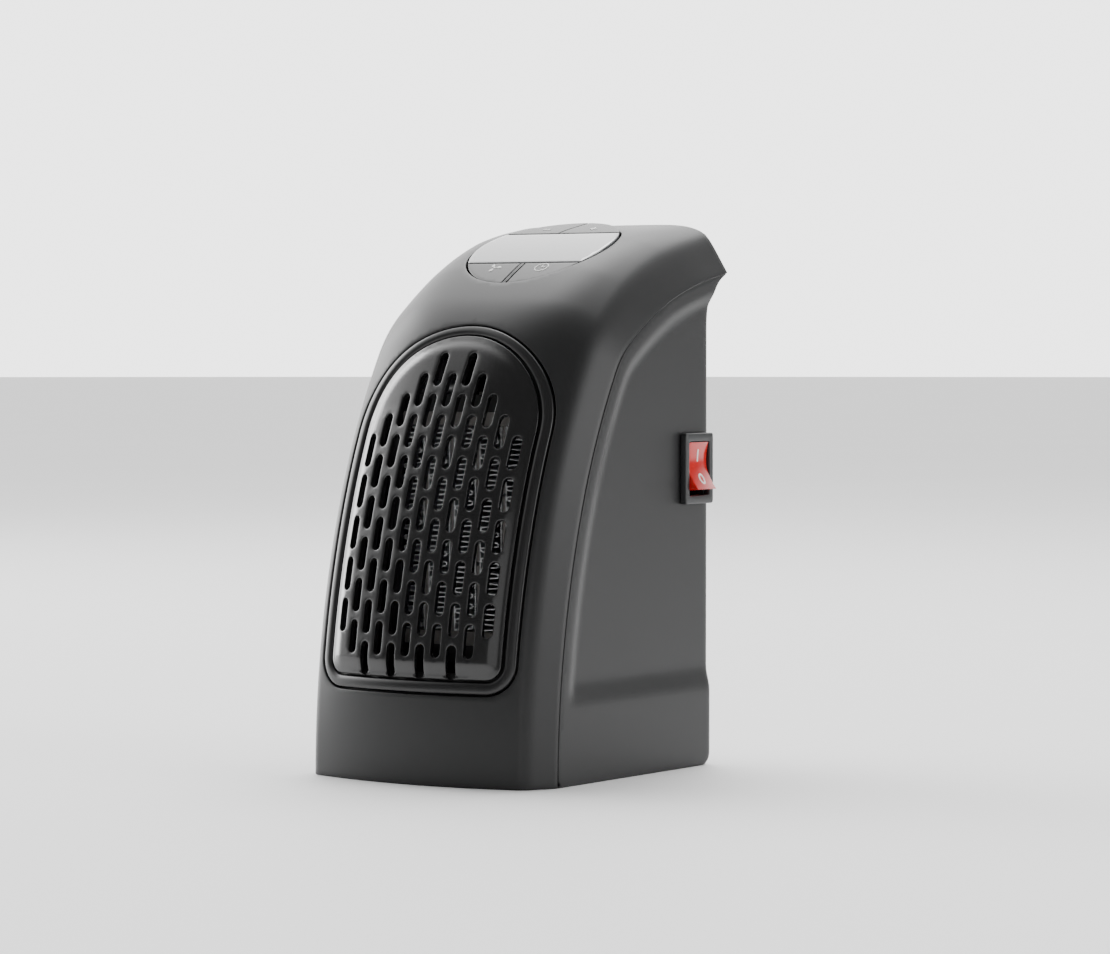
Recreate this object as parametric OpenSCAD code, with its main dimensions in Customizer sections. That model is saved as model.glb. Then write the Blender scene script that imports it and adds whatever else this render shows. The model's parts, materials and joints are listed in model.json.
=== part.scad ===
// Compact ceramic fan heater with an arched grille, a round control panel in
// its hood, a side rocker switch and a turning wall plug on its back.
// Millimetres, +Z up, the grille faces -Y, and the base stands on z = 0.

/* [Body] */
// Width across the seam between cover and housing
body_w = 85; // [78:0.5:102]
// Height of the body
body_h = 163.2; // [140:0.2:190]
// Depth from the foot of the seam to the rear wall
body_d = 82; // [74:0.5:98]
// Wall of the cover and the housing
wall = 2.2; // [1.6:0.1:2.6]
// How far the crease stands in from the side
crease_in = 5.1; // [4:0.1:7]
// Width of the flank between crease and seam
flank_w = 9.7; // [8:0.1:12]
// Bow of the front between its creases
bow = 7.5; // [5:0.1:9]
// Depth of the pressed panel in each side
recess_d = 1.2; // [0.6:0.1:1.4]
// Thickness of the rubber grip pads let into the base
pad_t = 1; // [0.6:0.1:1.4]

/* [Grille] */
// Width of the arched opening
arch_w = 69.4; // [64:0.2:72]
// Height of the bottom of the opening above the base
arch_low = 26; // [20:0.5:32]
// Height of the opening
arch_h = 105.4; // [92:0.2:116]
// Rise of the arch above its springing
arch_rise = 31; // [26:0.5:36]
// Width of the trim ring
ring_w = 3.3; // [2.5:0.1:4.5]
// Gap on each side of the trim ring
ring_gap = 0.7; // [0.4:0.1:1]
// Thickness of the grille
grille_t = 1.8; // [1.4:0.1:2.2]
// Width of a grille slot
slot_w = 3; // [2.4:0.1:3.4]
// Height of a grille slot
slot_h = 9.6; // [8:0.1:10.2]
// Sideways step from one slot column to the next
slot_dx = 5.1; // [4.6:0.1:5.4]
// Height step from one slot row to the next
slot_dz = 5.9; // [5.6:0.1:6.1]

/* [Control panel] */
// Radius of the round panel
panel_r = 23.2; // [20:0.1:25]
// Distance of the panel's middle from the rear wall
panel_back = 28.4; // [25:0.1:33]
// Width of the display band
band_w = 22; // [18:0.1:24]
// Travel of a button
button_travel = 0.6; // [0.3:0.1:0.8]
// Gap round a button
button_gap = 0.4; // [0.3:0.05:0.6]

/* [Heater and fan] */
// Width of the heating block
core_w = 44; // [38:0.5:50]
// Height of the heating block
core_h = 68; // [60:0.5:76]
// Depth of the heating block
core_d = 11; // [8:0.5:14]
// Height of the middle of the heating block
core_z = 72; // [68:0.5:76]
// Width of the square fan
fan_w = 60; // [50:0.5:64]
// Depth of the fan
fan_d = 15; // [12:0.5:18]
// Radius of the fan's hub
hub_r = 14; // [11:0.5:16]
// Number of fan blades
blades = 7; // [5:1:9]

/* [Rocker switch] */
// Width of the switch bezel
bezel_w = 15; // [14:0.1:16]
// Height of the switch bezel
bezel_h = 21; // [20:0.1:22]
// Height of the middle of the switch
switch_z = 88.8; // [80:0.2:96]
// Distance of the switch's middle from the rear wall
switch_back = 9.3; // [9:0.1:14]
// Tilt of the rocker to each side of level
rocker_tilt = 12; // [8:0.5:14]

/* [Wall plug] */
// Radius of the turntable's flange
table_r = 22; // [20:0.2:24]
// Radius of the plug nose
nose_r = 18; // [16:0.2:19]
// Length of the plug nose
nose_l = 16; // [12:0.5:20]
// Height of the plug's axis
plug_z = 50; // [46:0.5:54]
// Diameter of a plug pin
pin_d = 4.8; // [4:0.1:5]
// Length of a plug pin
pin_l = 19; // [17:0.1:20]
// Spacing of the plug pins
pin_gap = 19; // [18:0.1:20]

/* [Hidden] */
$fn = 48;

cut = 1;            // how far a cutter runs past what it cuts
clear = 0.3;        // clearance of a moving piece
fit = 0.05;         // radial clearance of a shaft in its bore
z0 = 0;             // underside of the body
y_mid = 6;          // the rear wall and the seam's foot are centred here
y_rear = y_mid + body_d / 2;
y_seam = y_mid - body_d / 2;
half_w = body_w / 2;
crease_x = half_w - crease_in;

// ---- side profile: the crease as a chain of tangent arcs -------------------
design_d = 82;      // depth and height at which the radii below are drawn
design_h = 162.4;
ky = body_d / design_d;
kz = body_h / design_h;
foot_t = -9.6;      // crease ahead of the seam's foot
lip_t = 87;         // crease end over the rear lip
arc_r = [268, 200, 34, 138];
arc_a = [17.6, 13, 23, 22];
arc_n = [7, 4, 6, 6];
function lean_at(k) = k == 0 ? 0 : lean_at(k - 1) + arc_a[k - 1];
function arc_from(k) = k == 0 ? [foot_t, 0] : arc_point(k - 1, 1);
function arc_point(k, f) = let (a = lean_at(k), b = a + arc_a[k] * f)
    arc_from(k) + arc_r[k] * [cos(a) - cos(b), sin(b) - sin(a)];
arcs = len(arc_r);
tail_a = lean_at(arcs);
tail_from = arc_from(arcs);
function tail_point(t) = tail_from + (t - tail_from[0]) * [1, 1 / tan(tail_a)];
drawn = concat(
    [for (k = [0:arcs - 1], j = [0:arc_n[k] - 1])
        concat(arc_point(k, j / arc_n[k]), lean_at(k) + arc_a[k] * j / arc_n[k])],
    [concat(tail_from, tail_a), concat(tail_point((tail_from[0] + lip_t) / 2), tail_a),
        concat(tail_point(lip_t), tail_a)]);
last = len(drawn) - 1;
function unit(v) = v / norm(v);
// each row: y, z, outward normal y and z, bow height, squareness of the bow, width of the flank
row = [for (p = drawn) let (n = unit([-cos(p[2]) / ky, sin(p[2]) / kz]))
    [y_seam + p[0] * ky, z0 + p[1] * kz, n[0], n[1], bow_at(p), square_at(p), flank_at(p)]];
function bow_at(p) = min(
    lookup(p[0], [[0, bow], [44, bow * 1.04], [64, bow * 0.9], [89, bow * 0.48]]),
    lookup(p[1], [[0, bow * 0.8], [25, bow], [60, bow * 1.05]]));
// the flank widens towards the lip
function flank_at(p) = lookup(p[0], [[55, flank_w], [lip_t, flank_w * 1.17]]);
function square_at(p) = lookup(p[0], [[12, 2], [30, 4], [54, 6], [89, 8]]);
// a point of the profile moved out along its normal
function out(r, d) = [r[0] + r[2] * d, r[1] + r[3] * d];
function bowed(r, x, half) = r[4] * (1 - pow(abs(x) / half, r[5]));
// a point of the front at height row r and sideways place x, inset by d
function skin(r, x, d) = let (q = out(r, bowed(r, x, crease_x) - d)) [x, q[0], q[1]];
function rim(r, x, d) = let (q = out(r, -d)) [x, q[0], q[1]];
seam_line = [for (r = row) out(r, -r[6])];
crown_line = [for (r = row) out(r, r[4])];
crown_slope = [for (i = [0:last]) [crown_line[i][0], 90 - drawn[i][2]]];
// depth of the front's middle at height z
front_line = [for (c = crown_line) [c[1], c[0]]];
function front_y(z) = lookup(z, front_line);

bow_n = 14;
function spread(half) = [for (j = [0:bow_n]) half * (2 * j / bow_n - 1)];
// one C-shaped section of the cover: out over the bow and back inside it
function cover_section(r) = let (inner = crease_x - wall)
    concat([rim(r, -half_w, r[6])], [for (x = spread(crease_x)) skin(r, x, 0)],
        [rim(r, half_w, r[6])], [rim(r, half_w - wall, r[6])],
        [for (j = [bow_n:-1:0]) let (x = spread(inner)[j])
            rim(r, x, wall - bowed(r, x, inner))],
        [rim(r, wall - half_w, r[6])]);
// a closed section between two insets of the same front
function band_section(r, half, out_d, in_d) = concat(
    [for (x = spread(half)) skin(r, x, -out_d)],
    [for (j = [bow_n:-1:0]) skin(r, spread(half)[j], in_d)]);
// a plug that fills the cover's section from wall middle to wall middle
function cap_section(r, d) = concat([rim(r, d - half_w, r[6])],
    [for (x = spread(crease_x - d)) rim(r, x, d - bowed(r, x, crease_x - d))],
    [rim(r, half_w - d, r[6])]);

// skins a list of equal sections, each with an outer and an inner run
module loft(sections) {
    n = len(sections[0]);
    m = len(sections);
    half = floor(n / 2);
    points = [for (s = sections, p = s) p];
    sides = [for (i = [0:m - 2], j = [0:n - 1])
        let (a = i * n + j, b = i * n + (j + 1) % n, c = b + n, d = a + n)
        each [[a, c, b], [a, d, c]]];
    ends = [for (j = [0:half - 2]) let (k = n - 1 - j, e = (m - 1) * n)
        each [[j, k - 1, k], [j, j + 1, k - 1],
            [e + j, e + k, e + k - 1], [e + j, e + k - 1, e + j + 1]]];
    polyhedron(points, concat(sides, ends), convexity = 6);
}
module fan_loft(sections) {
    n = len(sections[0]);
    m = len(sections);
    points = [for (s = sections, p = s) p];
    sides = [for (i = [0:m - 2], j = [0:n - 1])
        let (a = i * n + j, b = i * n + (j + 1) % n, c = b + n, d = a + n)
        each [[a, c, b], [a, d, c]]];
    ends = [for (j = [1:n - 2]) let (e = (m - 1) * n)
        each [[0, j, j + 1], [e, e + j + 1, e + j]]];
    polyhedron(points, concat(sides, ends), convexity = 4);
}
// a row between the last two, so many millimetres from the end
function row_before_end(d) = let (a = row[last - 1], b = row[last],
    f = d / norm([b[0] - a[0], b[1] - a[1]])) b * (1 - f) + a * f;

// ---- small helpers ---------------------------------------------------------
module along_y(y) { translate([0, y, 0]) rotate([-90, 0, 0]) children(); }
module along_x(x) { translate([x, 0, 0]) rotate([0, 90, 0]) children(); }
// a drawing in x and z, extruded from y to y + d
module drawn_xz(y, d) {
    translate([0, y + d, 0]) rotate([90, 0, 0]) linear_extrude(d) children();
}
// a drawing in y and z, extruded from x to x + d
module drawn_yz(x, d) {
    translate([x, 0, 0]) rotate([90, 0, 90]) linear_extrude(d) children();
}
module box(a, b) { translate(a) cube(b - a); }
module ring(r_out, r_in, h) {
    difference() { cylinder(r = r_out, h = h); translate([0, 0, -cut]) cylinder(r = r_in, h = h + 2 * cut); }
}
// a tube along a route; every turn of the route stays well off this direction
side_way = unit([0.62, 0.2, 0.11]);
tube_sides = 8;
module wire(points, r) {
    n = len(points) - 1;
    fan_loft([for (i = [0:n])
        let (t = unit(points[min(i + 1, n)] - points[max(i - 1, 0)]),
            u = unit(cross(t, side_way)), v = cross(t, u))
        [for (a = [0:360 / tube_sides:359]) points[i] + r * (u * cos(a) + v * sin(a))]]);
}
module screw(head_r, head_h, r, l) {
    cylinder(r = head_r, h = head_h);
    translate([0, 0, -l]) cylinder(r = r, h = l + head_h / 2);
}

// ---- where the heating block and the fan stand ------------------------------
frame_side = 5;
top_room = 6.8;
// the core stands clear of the grille at its middle and at the top of its frame
core_y0 = max(front_y(core_z) + 21, front_y(core_z + core_h / 2 + frame_side) + top_room);
core_y1 = core_y0 + core_d;
fan_y = core_y1 + 5;
// the fan's screws stand beside the core and inside the fan's corners
fan_hole_x = min(core_w / 2 + 2.5, fan_w / 2 - 3);
fan_holes = [for (sx = [-1, 1], sy = [-1, 1]) [sx * fan_hole_x, sy * (fan_w / 2 - 5)]];

// ---- arched opening --------------------------------------------------------
arch_top = z0 + arch_low + arch_h;
arch_corner = 9;
crown_share = 0.7;      // the ring narrows over the top of the arch
// outline of the arch, drawn in from the opening by d
module arch(d) {
    a = arch_w / 2 - d;
    b = arch_rise - crown_share * d;
    zs = arch_top - arch_rise;
    zb = z0 + arch_low + d;
    c = max(arch_corner - d, 1);
    polygon(concat(
        [for (t = [0:7.5:180]) [a * cos(t), zs + b * sin(t)]],
        [for (t = [180:15:270]) [c - a + c * cos(t), zb + c + c * sin(t)]],
        [for (t = [270:15:360]) [a - c + c * cos(t), zb + c + c * sin(t)]]));
}
front_most = y_seam + foot_t * ky - bow - 6;
arch_cut_d = 50;
module arch_prism(d) { drawn_xz(front_most, arch_cut_d) arch(d); }
band_rows = [for (r = row) if (r[1] < arch_top + 14 * kz) r];
ring_proud = 0.3;
grille_proud = 1;

slot_drop = 13.4;       // from the top of the opening to the middle of the first row
slot_top = arch_top - slot_drop;
// half-step columns of each slot row, from the top down
function slot_reach(k) = k == 0 ? 1 : k == 1 ? 2 : (k == 2 || k == 14) ? 3 : (k % 2 == 0) ? 5 : 4;
module slots() {
    for (k = [0:14], c = [-slot_reach(k):2:slot_reach(k)])
        translate([c * slot_dx, slot_top - k * slot_dz]) {
            square([slot_w, slot_h - slot_w], center = true);
            for (s = [-1, 1]) translate([0, s * (slot_h - slot_w) / 2]) circle(d = slot_w, $fn = 16);
        }
}

// ---- control panel ---------------------------------------------------------
panel_y = y_rear - panel_back;
panel_z = lookup(panel_y, crown_line);
panel_tilt = lookup(panel_y, crown_slope);
panel_bend = 140;       // the panel's face is part of a large cylinder
bore_gap = 0.6;
collar_t = 2;
collar_low = 7;
collar_top = 3.6;
tray_t = 1.5;
cap_t = 3;              // thickness of buttons and window
stem_r = 2;
stem_low = 10;
board_low = 16;
board_t = 1.6;
tact_h = 3.5;
tact_w = 6;
// the keys keep their place on the disc, and their stems clear the window band
key_x = 9.5 * panel_r / 23.2;
key_y = max(15.5 * panel_r / 23.2, band_w / 2 + button_gap + stem_r + 0.4);
clip_x = 18.5 * panel_r / 23.2;
keys = [[-key_x, -key_y], [key_x, -key_y], [-key_x, key_y], [key_x, key_y]];
rib_w = 1.2;
rib_gap = 0.35;
module on_panel() { translate([0, panel_y, panel_z]) rotate([panel_tilt, 0, 0]) children(); }
// the bent slab of the panel's face, t thick
module face_slab(t) {
    translate([-panel_r - cut, 0, -panel_bend]) rotate([0, 90, 0]) difference() {
        cylinder(r = panel_bend, h = 2 * (panel_r + cut), $fn = 96);
        translate([0, 0, -cut]) cylinder(r = panel_bend - t, h = 2 * (panel_r + 2 * cut), $fn = 96);
    }
}
module face_piece(t) {
    intersection() {
        face_slab(t);
        translate([0, 0, -t - 8]) linear_extrude(t + 16) intersection()
            { circle(r = panel_r, $fn = 96); children(); }
    }
}
// a button cap on the side sx of the panel, in front (sy -1) or behind (sy 1)
module button(sx, sy) {
    gap = sy < 0 ? rib_w / 2 + rib_gap : button_gap / 2;
    on_panel() {
        face_piece(cap_t) translate([sx > 0 ? gap : -panel_r - cut,
            sy > 0 ? band_w / 2 + button_gap : -panel_r - cut])
            square([panel_r + cut - gap, panel_r + cut - band_w / 2 - button_gap]);
        translate([sx * key_x, sy * key_y, -stem_low]) cylinder(r = stem_r, h = stem_low - cap_t * 0.7 - 0.9);
    }
}
module plunger(sx, sy) {
    on_panel() translate([sx * key_x, sy * key_y, -stem_low - 2]) cylinder(r = 1.6, h = 2);
}

// ---- shells ----------------------------------------------------------------
boss_x = half_w - 10.5;
boss_z = z0 + 124 * kz;
boss_join = y_mid;      // where the upper bosses meet
foot_boss_x = half_w - 15;
foot_boss_y = y_seam + foot_t * ky + wall + 0.7;
foot_boss_r = 4;
foot_boss_h = 14;
boss_r = 3.4;
core_hole_r = 1.1;      // pilot bore of a self-cutting screw
seam_gap = 0.25;

module front_cover() color([0.26, 0.26, 0.27]) {
    difference() {
        union() {
            loft([for (r = row) cover_section(r)]);
            fan_loft([for (d = [wall, 0.4]) cap_section(row_before_end(d), wall / 2)]);
            on_panel() translate([0, 0, -collar_low])
                ring(panel_r + bore_gap + collar_t, panel_r + bore_gap, collar_low - collar_top);
            for (s = [-1, 1]) {
                translate([s * boss_x, 0, boss_z]) along_y(boss_join - 19)
                    cylinder(r = boss_r, h = 19 - seam_gap);
                translate([s * foot_boss_x, foot_boss_y, z0 + wall + seam_gap])
                    cylinder(r = foot_boss_r, h = foot_boss_h);
            }
        }
        arch_prism(0);
        on_panel() translate([0, 0, -collar_low - cut])
            cylinder(r = panel_r + bore_gap, h = collar_low + 8, $fn = 96);
        for (s = [-1, 1]) {
            translate([s * boss_x, 0, boss_z]) along_y(boss_join - 10) cylinder(r = core_hole_r, h = 12);
            translate([s * foot_boss_x, foot_boss_y, z0]) cylinder(r = core_hole_r, h = foot_boss_h - 2);
        }
    }
}

seam_end = seam_line[last];
flare_z = seam_end[1] - 12;
lip_depth = seam_end[0] - y_rear;
base_round = 4;
// side outline of the housing, drawn in by d
function housing_outline(d) = concat(
    [[seam_line[0][0] + d, z0 + d]],
    [for (p = seam_line) if (p[1] > z0 + d + 1) p],
    [for (a = [10:20:90]) [y_rear - d + lip_depth * (1 - sin(a)), flare_z + 11 * cos(a) - d * 0.4]],
    [for (a = [0:-22.5:-90]) [y_rear - base_round + (base_round - d) * cos(a),
        z0 + base_round + (base_round - d) * sin(a)]]);
// the same inside, open towards the seam
function housing_inside() = concat(
    [[y_seam - 30, z0 + wall]],
    [[y_seam - 30, seam_end[1] + 30], [seam_end[0] - wall, seam_end[1] + 30]],
    [for (a = [10:20:90]) [y_rear - wall + lip_depth * (1 - sin(a)), flare_z + 11 * cos(a)]],
    [for (a = [0:-22.5:-90]) [y_rear - base_round + (base_round - wall) * cos(a),
        z0 + base_round + (base_round - wall) * sin(a)]]);
// front of the floor, inside the cover's foot
function floor_outline() = let (d = wall + seam_gap) concat(
    [[half_w - d, y_seam + cut], [d - half_w, y_seam + cut]],
    [for (x = spread(crease_x - d)) [x, rim(row[0], x, d - bowed(row[0], x, crease_x - d))[1]]]);
recess_in = half_w - recess_d;
recess_low = 29;        // lower edge of the pressed panel's floor
recess_front = 8;       // from the seam to the floor's front edge
// the pressed panel of one side: it follows the seam at a distance
function recess_outline() = concat(
    [[y_seam + recess_front + 4, z0 + recess_low], [y_seam + recess_front, z0 + recess_low + 5]],
    [for (r = row) let (p = out(r, -r[6] - recess_front)) if (p[1] > z0 + recess_low + 8) p],
    [[y_rear + 20, z0 + recess_low]]);
vent_low = 102;          // the intake starts above the switch
vent_high = 134;
vent_step = 5;
vent_half = 26;
vent_h = 2.4;
hole_r = table_r - 3;   // bore of the housing for the turntable's neck
switch_y = y_rear - switch_back;
socket_w = bezel_w - 2;
socket_h = bezel_h - 2;
post_r = 3;
board_x = 33;
board_y0 = y_seam + 8;
board_y1 = y_rear - 10;
board_z = z0 + wall + 6;
board_posts = [for (sx = [-1, 1], y = [board_y0 + 4, board_y1 - 4]) [sx * (board_x - 4), y]];
retainer_posts = [for (a = [45:90:315]) [(table_r + 4) * cos(a), (table_r + 4) * sin(a)]];
foot_x = half_w - 9;
foot_ys = [y_seam + 7, y_rear - 10];
foot_r = 4;
module rear_housing() color([0.33, 0.33, 0.34]) difference() {
    union() {
        difference() {
            drawn_yz(-half_w, body_w) polygon(housing_outline(0));
            drawn_yz(wall + recess_d - half_w, body_w - 2 * (wall + recess_d)) polygon(housing_inside());
            drawn_yz(wall - half_w, recess_d + cut) difference() {
                polygon(housing_inside());
                polygon(recess_outline());
            }
            drawn_yz(half_w - wall - recess_d - cut, recess_d + cut) difference() {
                polygon(housing_inside());
                polygon(recess_outline());
            }
            for (s = [-1, 1]) drawn_yz(s > 0 ? recess_in : -half_w - cut, recess_d + cut)
                polygon(recess_outline());
        }
        // floor under the cover's foot
        translate([0, 0, z0]) linear_extrude(wall) polygon(floor_outline());
        // upper bosses
        for (s = [-1, 1]) translate([s * boss_x, 0, boss_z]) along_y(boss_join)
            cylinder(r = boss_r, h = y_rear - wall / 2 - boss_join);
        // board posts
        for (p = board_posts) translate([p[0], p[1], z0 + wall / 2])
            cylinder(r = post_r, h = board_z - z0 - wall / 2);
        // posts that hold the plug's retainer
        for (p = retainer_posts) translate([p[0], 0, plug_z + p[1]]) along_y(y_rear - wall - 5)
            cylinder(r = 2.6, h = 5 + wall / 2);
        // side rails that carry the fan
        for (s = [-1, 1]) let (x0 = fan_w / 2, x1 = recess_in - wall / 2)
            box([s > 0 ? x0 : -x1, fan_y + 2, core_z - 24], [s > 0 ? x1 : -x0, fan_y + 5, core_z + 24]);
    }
    // rear intake slots
    for (z = [vent_low:vent_step:vent_high])
        box([-vent_half, y_rear - wall - cut, z0 + z * kz], [vent_half, y_rear + cut, z0 + z * kz + vent_h]);
    // bore and seat of the turntable
    translate([0, 0, plug_z]) along_y(y_rear - wall - cut) cylinder(r = hole_r, h = wall + 2 * cut);
    // hole for the switch
    box([half_w - wall - 2 * recess_d - cut, switch_y - socket_w / 2, switch_z - socket_h / 2],
        [half_w + cut, switch_y + socket_w / 2, switch_z + socket_h / 2]);
    // screw holes
    for (s = [-1, 1]) {
        translate([s * boss_x, 0, boss_z]) along_y(boss_join - cut) cylinder(r = 1.6, h = y_rear);
        translate([s * boss_x, 0, boss_z]) along_y(y_rear - 6) cylinder(r = 3, h = 10);
        translate([s * foot_boss_x, foot_boss_y, z0 - cut]) cylinder(r = 1.6, h = wall + 2 * cut);
        translate([s * foot_boss_x, foot_boss_y, z0 - cut]) cylinder(r = 2.6, h = cut + 1.2);
    }
    for (p = board_posts) translate([p[0], p[1], z0 + wall]) cylinder(r = core_hole_r, h = 8);
    for (p = retainer_posts) translate([p[0], 0, plug_z + p[1]]) along_y(y_rear - wall - 5 - cut)
        cylinder(r = core_hole_r, h = 6);
    for (s = [-1, 1], y = foot_ys) translate([s * foot_x, y, z0 - cut]) cylinder(r = foot_r, h = cut + pad_t);
}

module grille_ring() color([0.08, 0.08, 0.09]) difference() {
    intersection() {
        loft([for (r = band_rows) band_section(r, crease_x - 0.2, ring_proud, wall + 0.6)]);
        arch_prism(ring_gap);
    }
    arch_prism(ring_gap + ring_w);
}
module front_grille() color([0.05, 0.05, 0.055]) difference() {
    intersection() {
        loft([for (r = band_rows) band_section(r, crease_x - 0.2, grille_proud, grille_t - grille_proud)]);
        arch_prism(2 * ring_gap + ring_w);
    }
    drawn_xz(front_most, arch_cut_d) slots();
}

// ---- control panel pieces --------------------------------------------------
tray_r = panel_r + bore_gap + collar_t;
display_x = 15;
display_y = 7.5;
board_half = [21, 19];
// the tray is cut straight at the back where the cover comes down close to it
tray_room = 0.3;
function above_tray(v) = lookup(panel_y + v * cos(panel_tilt) + collar_low * sin(panel_tilt), crown_line)
    - panel_z - v * sin(panel_tilt) + collar_low * cos(panel_tilt);
tray_back = max([for (v = [tray_r / 2:0.1:tray_r]) if (above_tray(v) > wall + tray_room) v]);
module panel_tray() color([0.1, 0.1, 0.11]) on_panel() {
    difference() {
        union() {
            intersection() {
                translate([0, 0, -collar_low - tray_t]) cylinder(r = tray_r, h = tray_t);
                box([-tray_r - 1, -tray_r - 1, -collar_low - tray_t - 1],
                    [tray_r + 1, tray_back > tray_r - 0.15 ? tray_r + 1 : tray_back, 0]);
            }
            for (sx = [-1, 1], sy = [-1, 1])
                translate([sx * (board_half[0] - 4), sy * (board_half[1] - 12), -board_low + board_t])
                cylinder(r = 1.9, h = board_low - board_t - collar_low - tray_t / 2);
            box([-7, -panel_r + 1.5, -collar_low - tray_t / 2], [7, -panel_r + 2.5, -collar_low + 1.5]);
        }
        for (k = keys) translate([k[0], k[1], -collar_low - tray_t - cut])
            cylinder(r = stem_r + clear, h = tray_t + 2 * cut);
        box([-display_x - 0.4, -display_y - 0.4, -collar_low - tray_t - cut],
            [display_x + 0.4, display_y + 0.4, -collar_low + cut]);
        for (sx = [-1, 1], sy = [-1, 1])
            translate([sx * (board_half[0] - 4), sy * (board_half[1] - 12), -board_low])
            cylinder(r = 0.8, h = 6);
    }
    // rib between the two front buttons
    intersection() {
        face_slab(6.5);
        box([-rib_w / 2, -panel_r + 0.4, -collar_low - tray_t / 2], [rib_w / 2, -band_w / 2 - button_gap, 1]);
    }
    box([-rib_w / 2, -panel_r + 0.4, -collar_low - tray_t / 2],
        [rib_w / 2, -band_w / 2 - button_gap, -collar_low + 1.5]);
}
module display_window() color([0.72, 0.73, 0.74]) on_panel() {
    face_piece(cap_t) square([2 * panel_r + 2, band_w], center = true);
    for (s = [-1, 1]) translate([s * clip_x, 0, -collar_low]) cylinder(r = 1.5, h = collar_low - 1);
}
module speed_button() color([0.3, 0.3, 0.31]) button(-1, -1);
module timer_button() color([0.3, 0.3, 0.31]) button(1, -1);
module warmer_button() color([0.3, 0.3, 0.31]) button(1, 1);
module cooler_button() color([0.3, 0.3, 0.31]) button(-1, 1);
module speed_plunger() color([0.05, 0.05, 0.05]) plunger(-1, -1);
module timer_plunger() color([0.05, 0.05, 0.05]) plunger(1, -1);
module warmer_plunger() color([0.05, 0.05, 0.05]) plunger(1, 1);
module cooler_plunger() color([0.05, 0.05, 0.05]) plunger(-1, 1);
module tact_switches() color([0.15, 0.15, 0.16]) on_panel()
    for (k = keys) translate([k[0], k[1], -board_low + board_t]) difference() {
        translate([-tact_w / 2, -tact_w / 2, 0]) cube([tact_w, tact_w, tact_h]);
        translate([0, 0, 0.8]) cylinder(r = 1.6 + clear, h = tact_h);
    }
module led_display() color([0.2, 0.2, 0.21]) on_panel()
    box([-display_x, -display_y, -board_low + board_t], [display_x, display_y, -cap_t - 0.4]);
module control_board() color([0.1, 0.35, 0.18]) on_panel() difference() {
    box([-board_half[0], -board_half[1], -board_low], [board_half[0], board_half[1], -board_low + board_t]);
    for (sx = [-1, 1], sy = [-1, 1])
        translate([sx * (board_half[0] - 4), sy * (board_half[1] - 12), -board_low - cut])
        cylinder(r = 1.1, h = board_t + 2 * cut);
}
module panel_screws() color([0.75, 0.75, 0.76]) on_panel()
    for (sx = [-1, 1], sy = [-1, 1])
        translate([sx * (board_half[0] - 4), sy * (board_half[1] - 12), -board_low])
        rotate([180, 0, 0]) screw(1.9, 1.2, 0.8, 6);

// ---- heating block ---------------------------------------------------------
core_low = core_z - core_h / 2;
core_high = core_z + core_h / 2;
columns = 5;            // fin columns
stone_w = 1.4;          // ceramic stone strip between two columns
plate_w = 0.4;          // electrode plate on each side of a strip
strip_w = stone_w + 2 * plate_w;
fin_w = (core_w - (columns - 1) * strip_w) / columns;
fin_n = 20;             // folds in one column
fin_level = 1.5;        // the slanting sheet, measured level across it
tip_h = 4;              // insulator at each end
module core_frame() color([0.08, 0.08, 0.08]) difference() {
    box([-core_w / 2 - frame_side, core_y0 - 0.5, core_low - frame_side],
        [core_w / 2 + frame_side, fan_y, core_high + frame_side]);
    box([-core_w / 2, core_y0 - cut - 0.5, core_low], [core_w / 2, core_y1, core_high]);
    // funnel from the fan
    translate([0, 0, core_z]) along_y(core_y1 - cut)
        cylinder(r = min(core_w, fan_w) / 2 - 1, h = fan_y - core_y1 + 2 * cut);
    for (p = fan_holes) translate([p[0], 0, core_z + p[1]]) along_y(fan_y - 4)
        cylinder(r = core_hole_r, h = 6);
}
module columns_at(k) { translate([-core_w / 2 + k * (fin_w + strip_w), 0, 0]) children(); }
fin_low = core_low + tip_h;
fin_step = (core_h - 2 * tip_h) / fin_n;
module heater_fins() color([0.78, 0.78, 0.8]) for (k = [0:columns - 1]) columns_at(k)
    drawn_xz(core_y0, core_d) polygon(concat(
        [for (i = [0:2 * fin_n]) [i % 2 * (fin_w - fin_level), fin_low + i * fin_step / 2]],
        [for (i = [2 * fin_n:-1:0]) [i % 2 * (fin_w - fin_level) + fin_level, fin_low + i * fin_step / 2]]));
module ceramic_stones() color([0.85, 0.84, 0.8]) for (k = [0:columns - 2]) columns_at(k)
    for (n = [0:2]) let (l = (core_h - 2 * tip_h - 2) / 3)
        box([fin_w + plate_w, core_y0 + 1, fin_low + n * (l + 1)],
            [fin_w + plate_w + stone_w, core_y1 - 1, fin_low + n * (l + 1) + l]);
module electrode_plates() color([0.7, 0.7, 0.72]) for (k = [0:columns - 2]) columns_at(k)
    for (x = [fin_w, fin_w + plate_w + stone_w])
        box([x, core_y0 + 0.5, fin_low], [x + plate_w, core_y1, core_high - tip_h]);
module core_insulators() color([0.9, 0.88, 0.82])
    for (z = [core_low, core_high - tip_h]) box([-core_w / 2, core_y0, z], [core_w / 2, core_y1, z + tip_h]);

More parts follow.
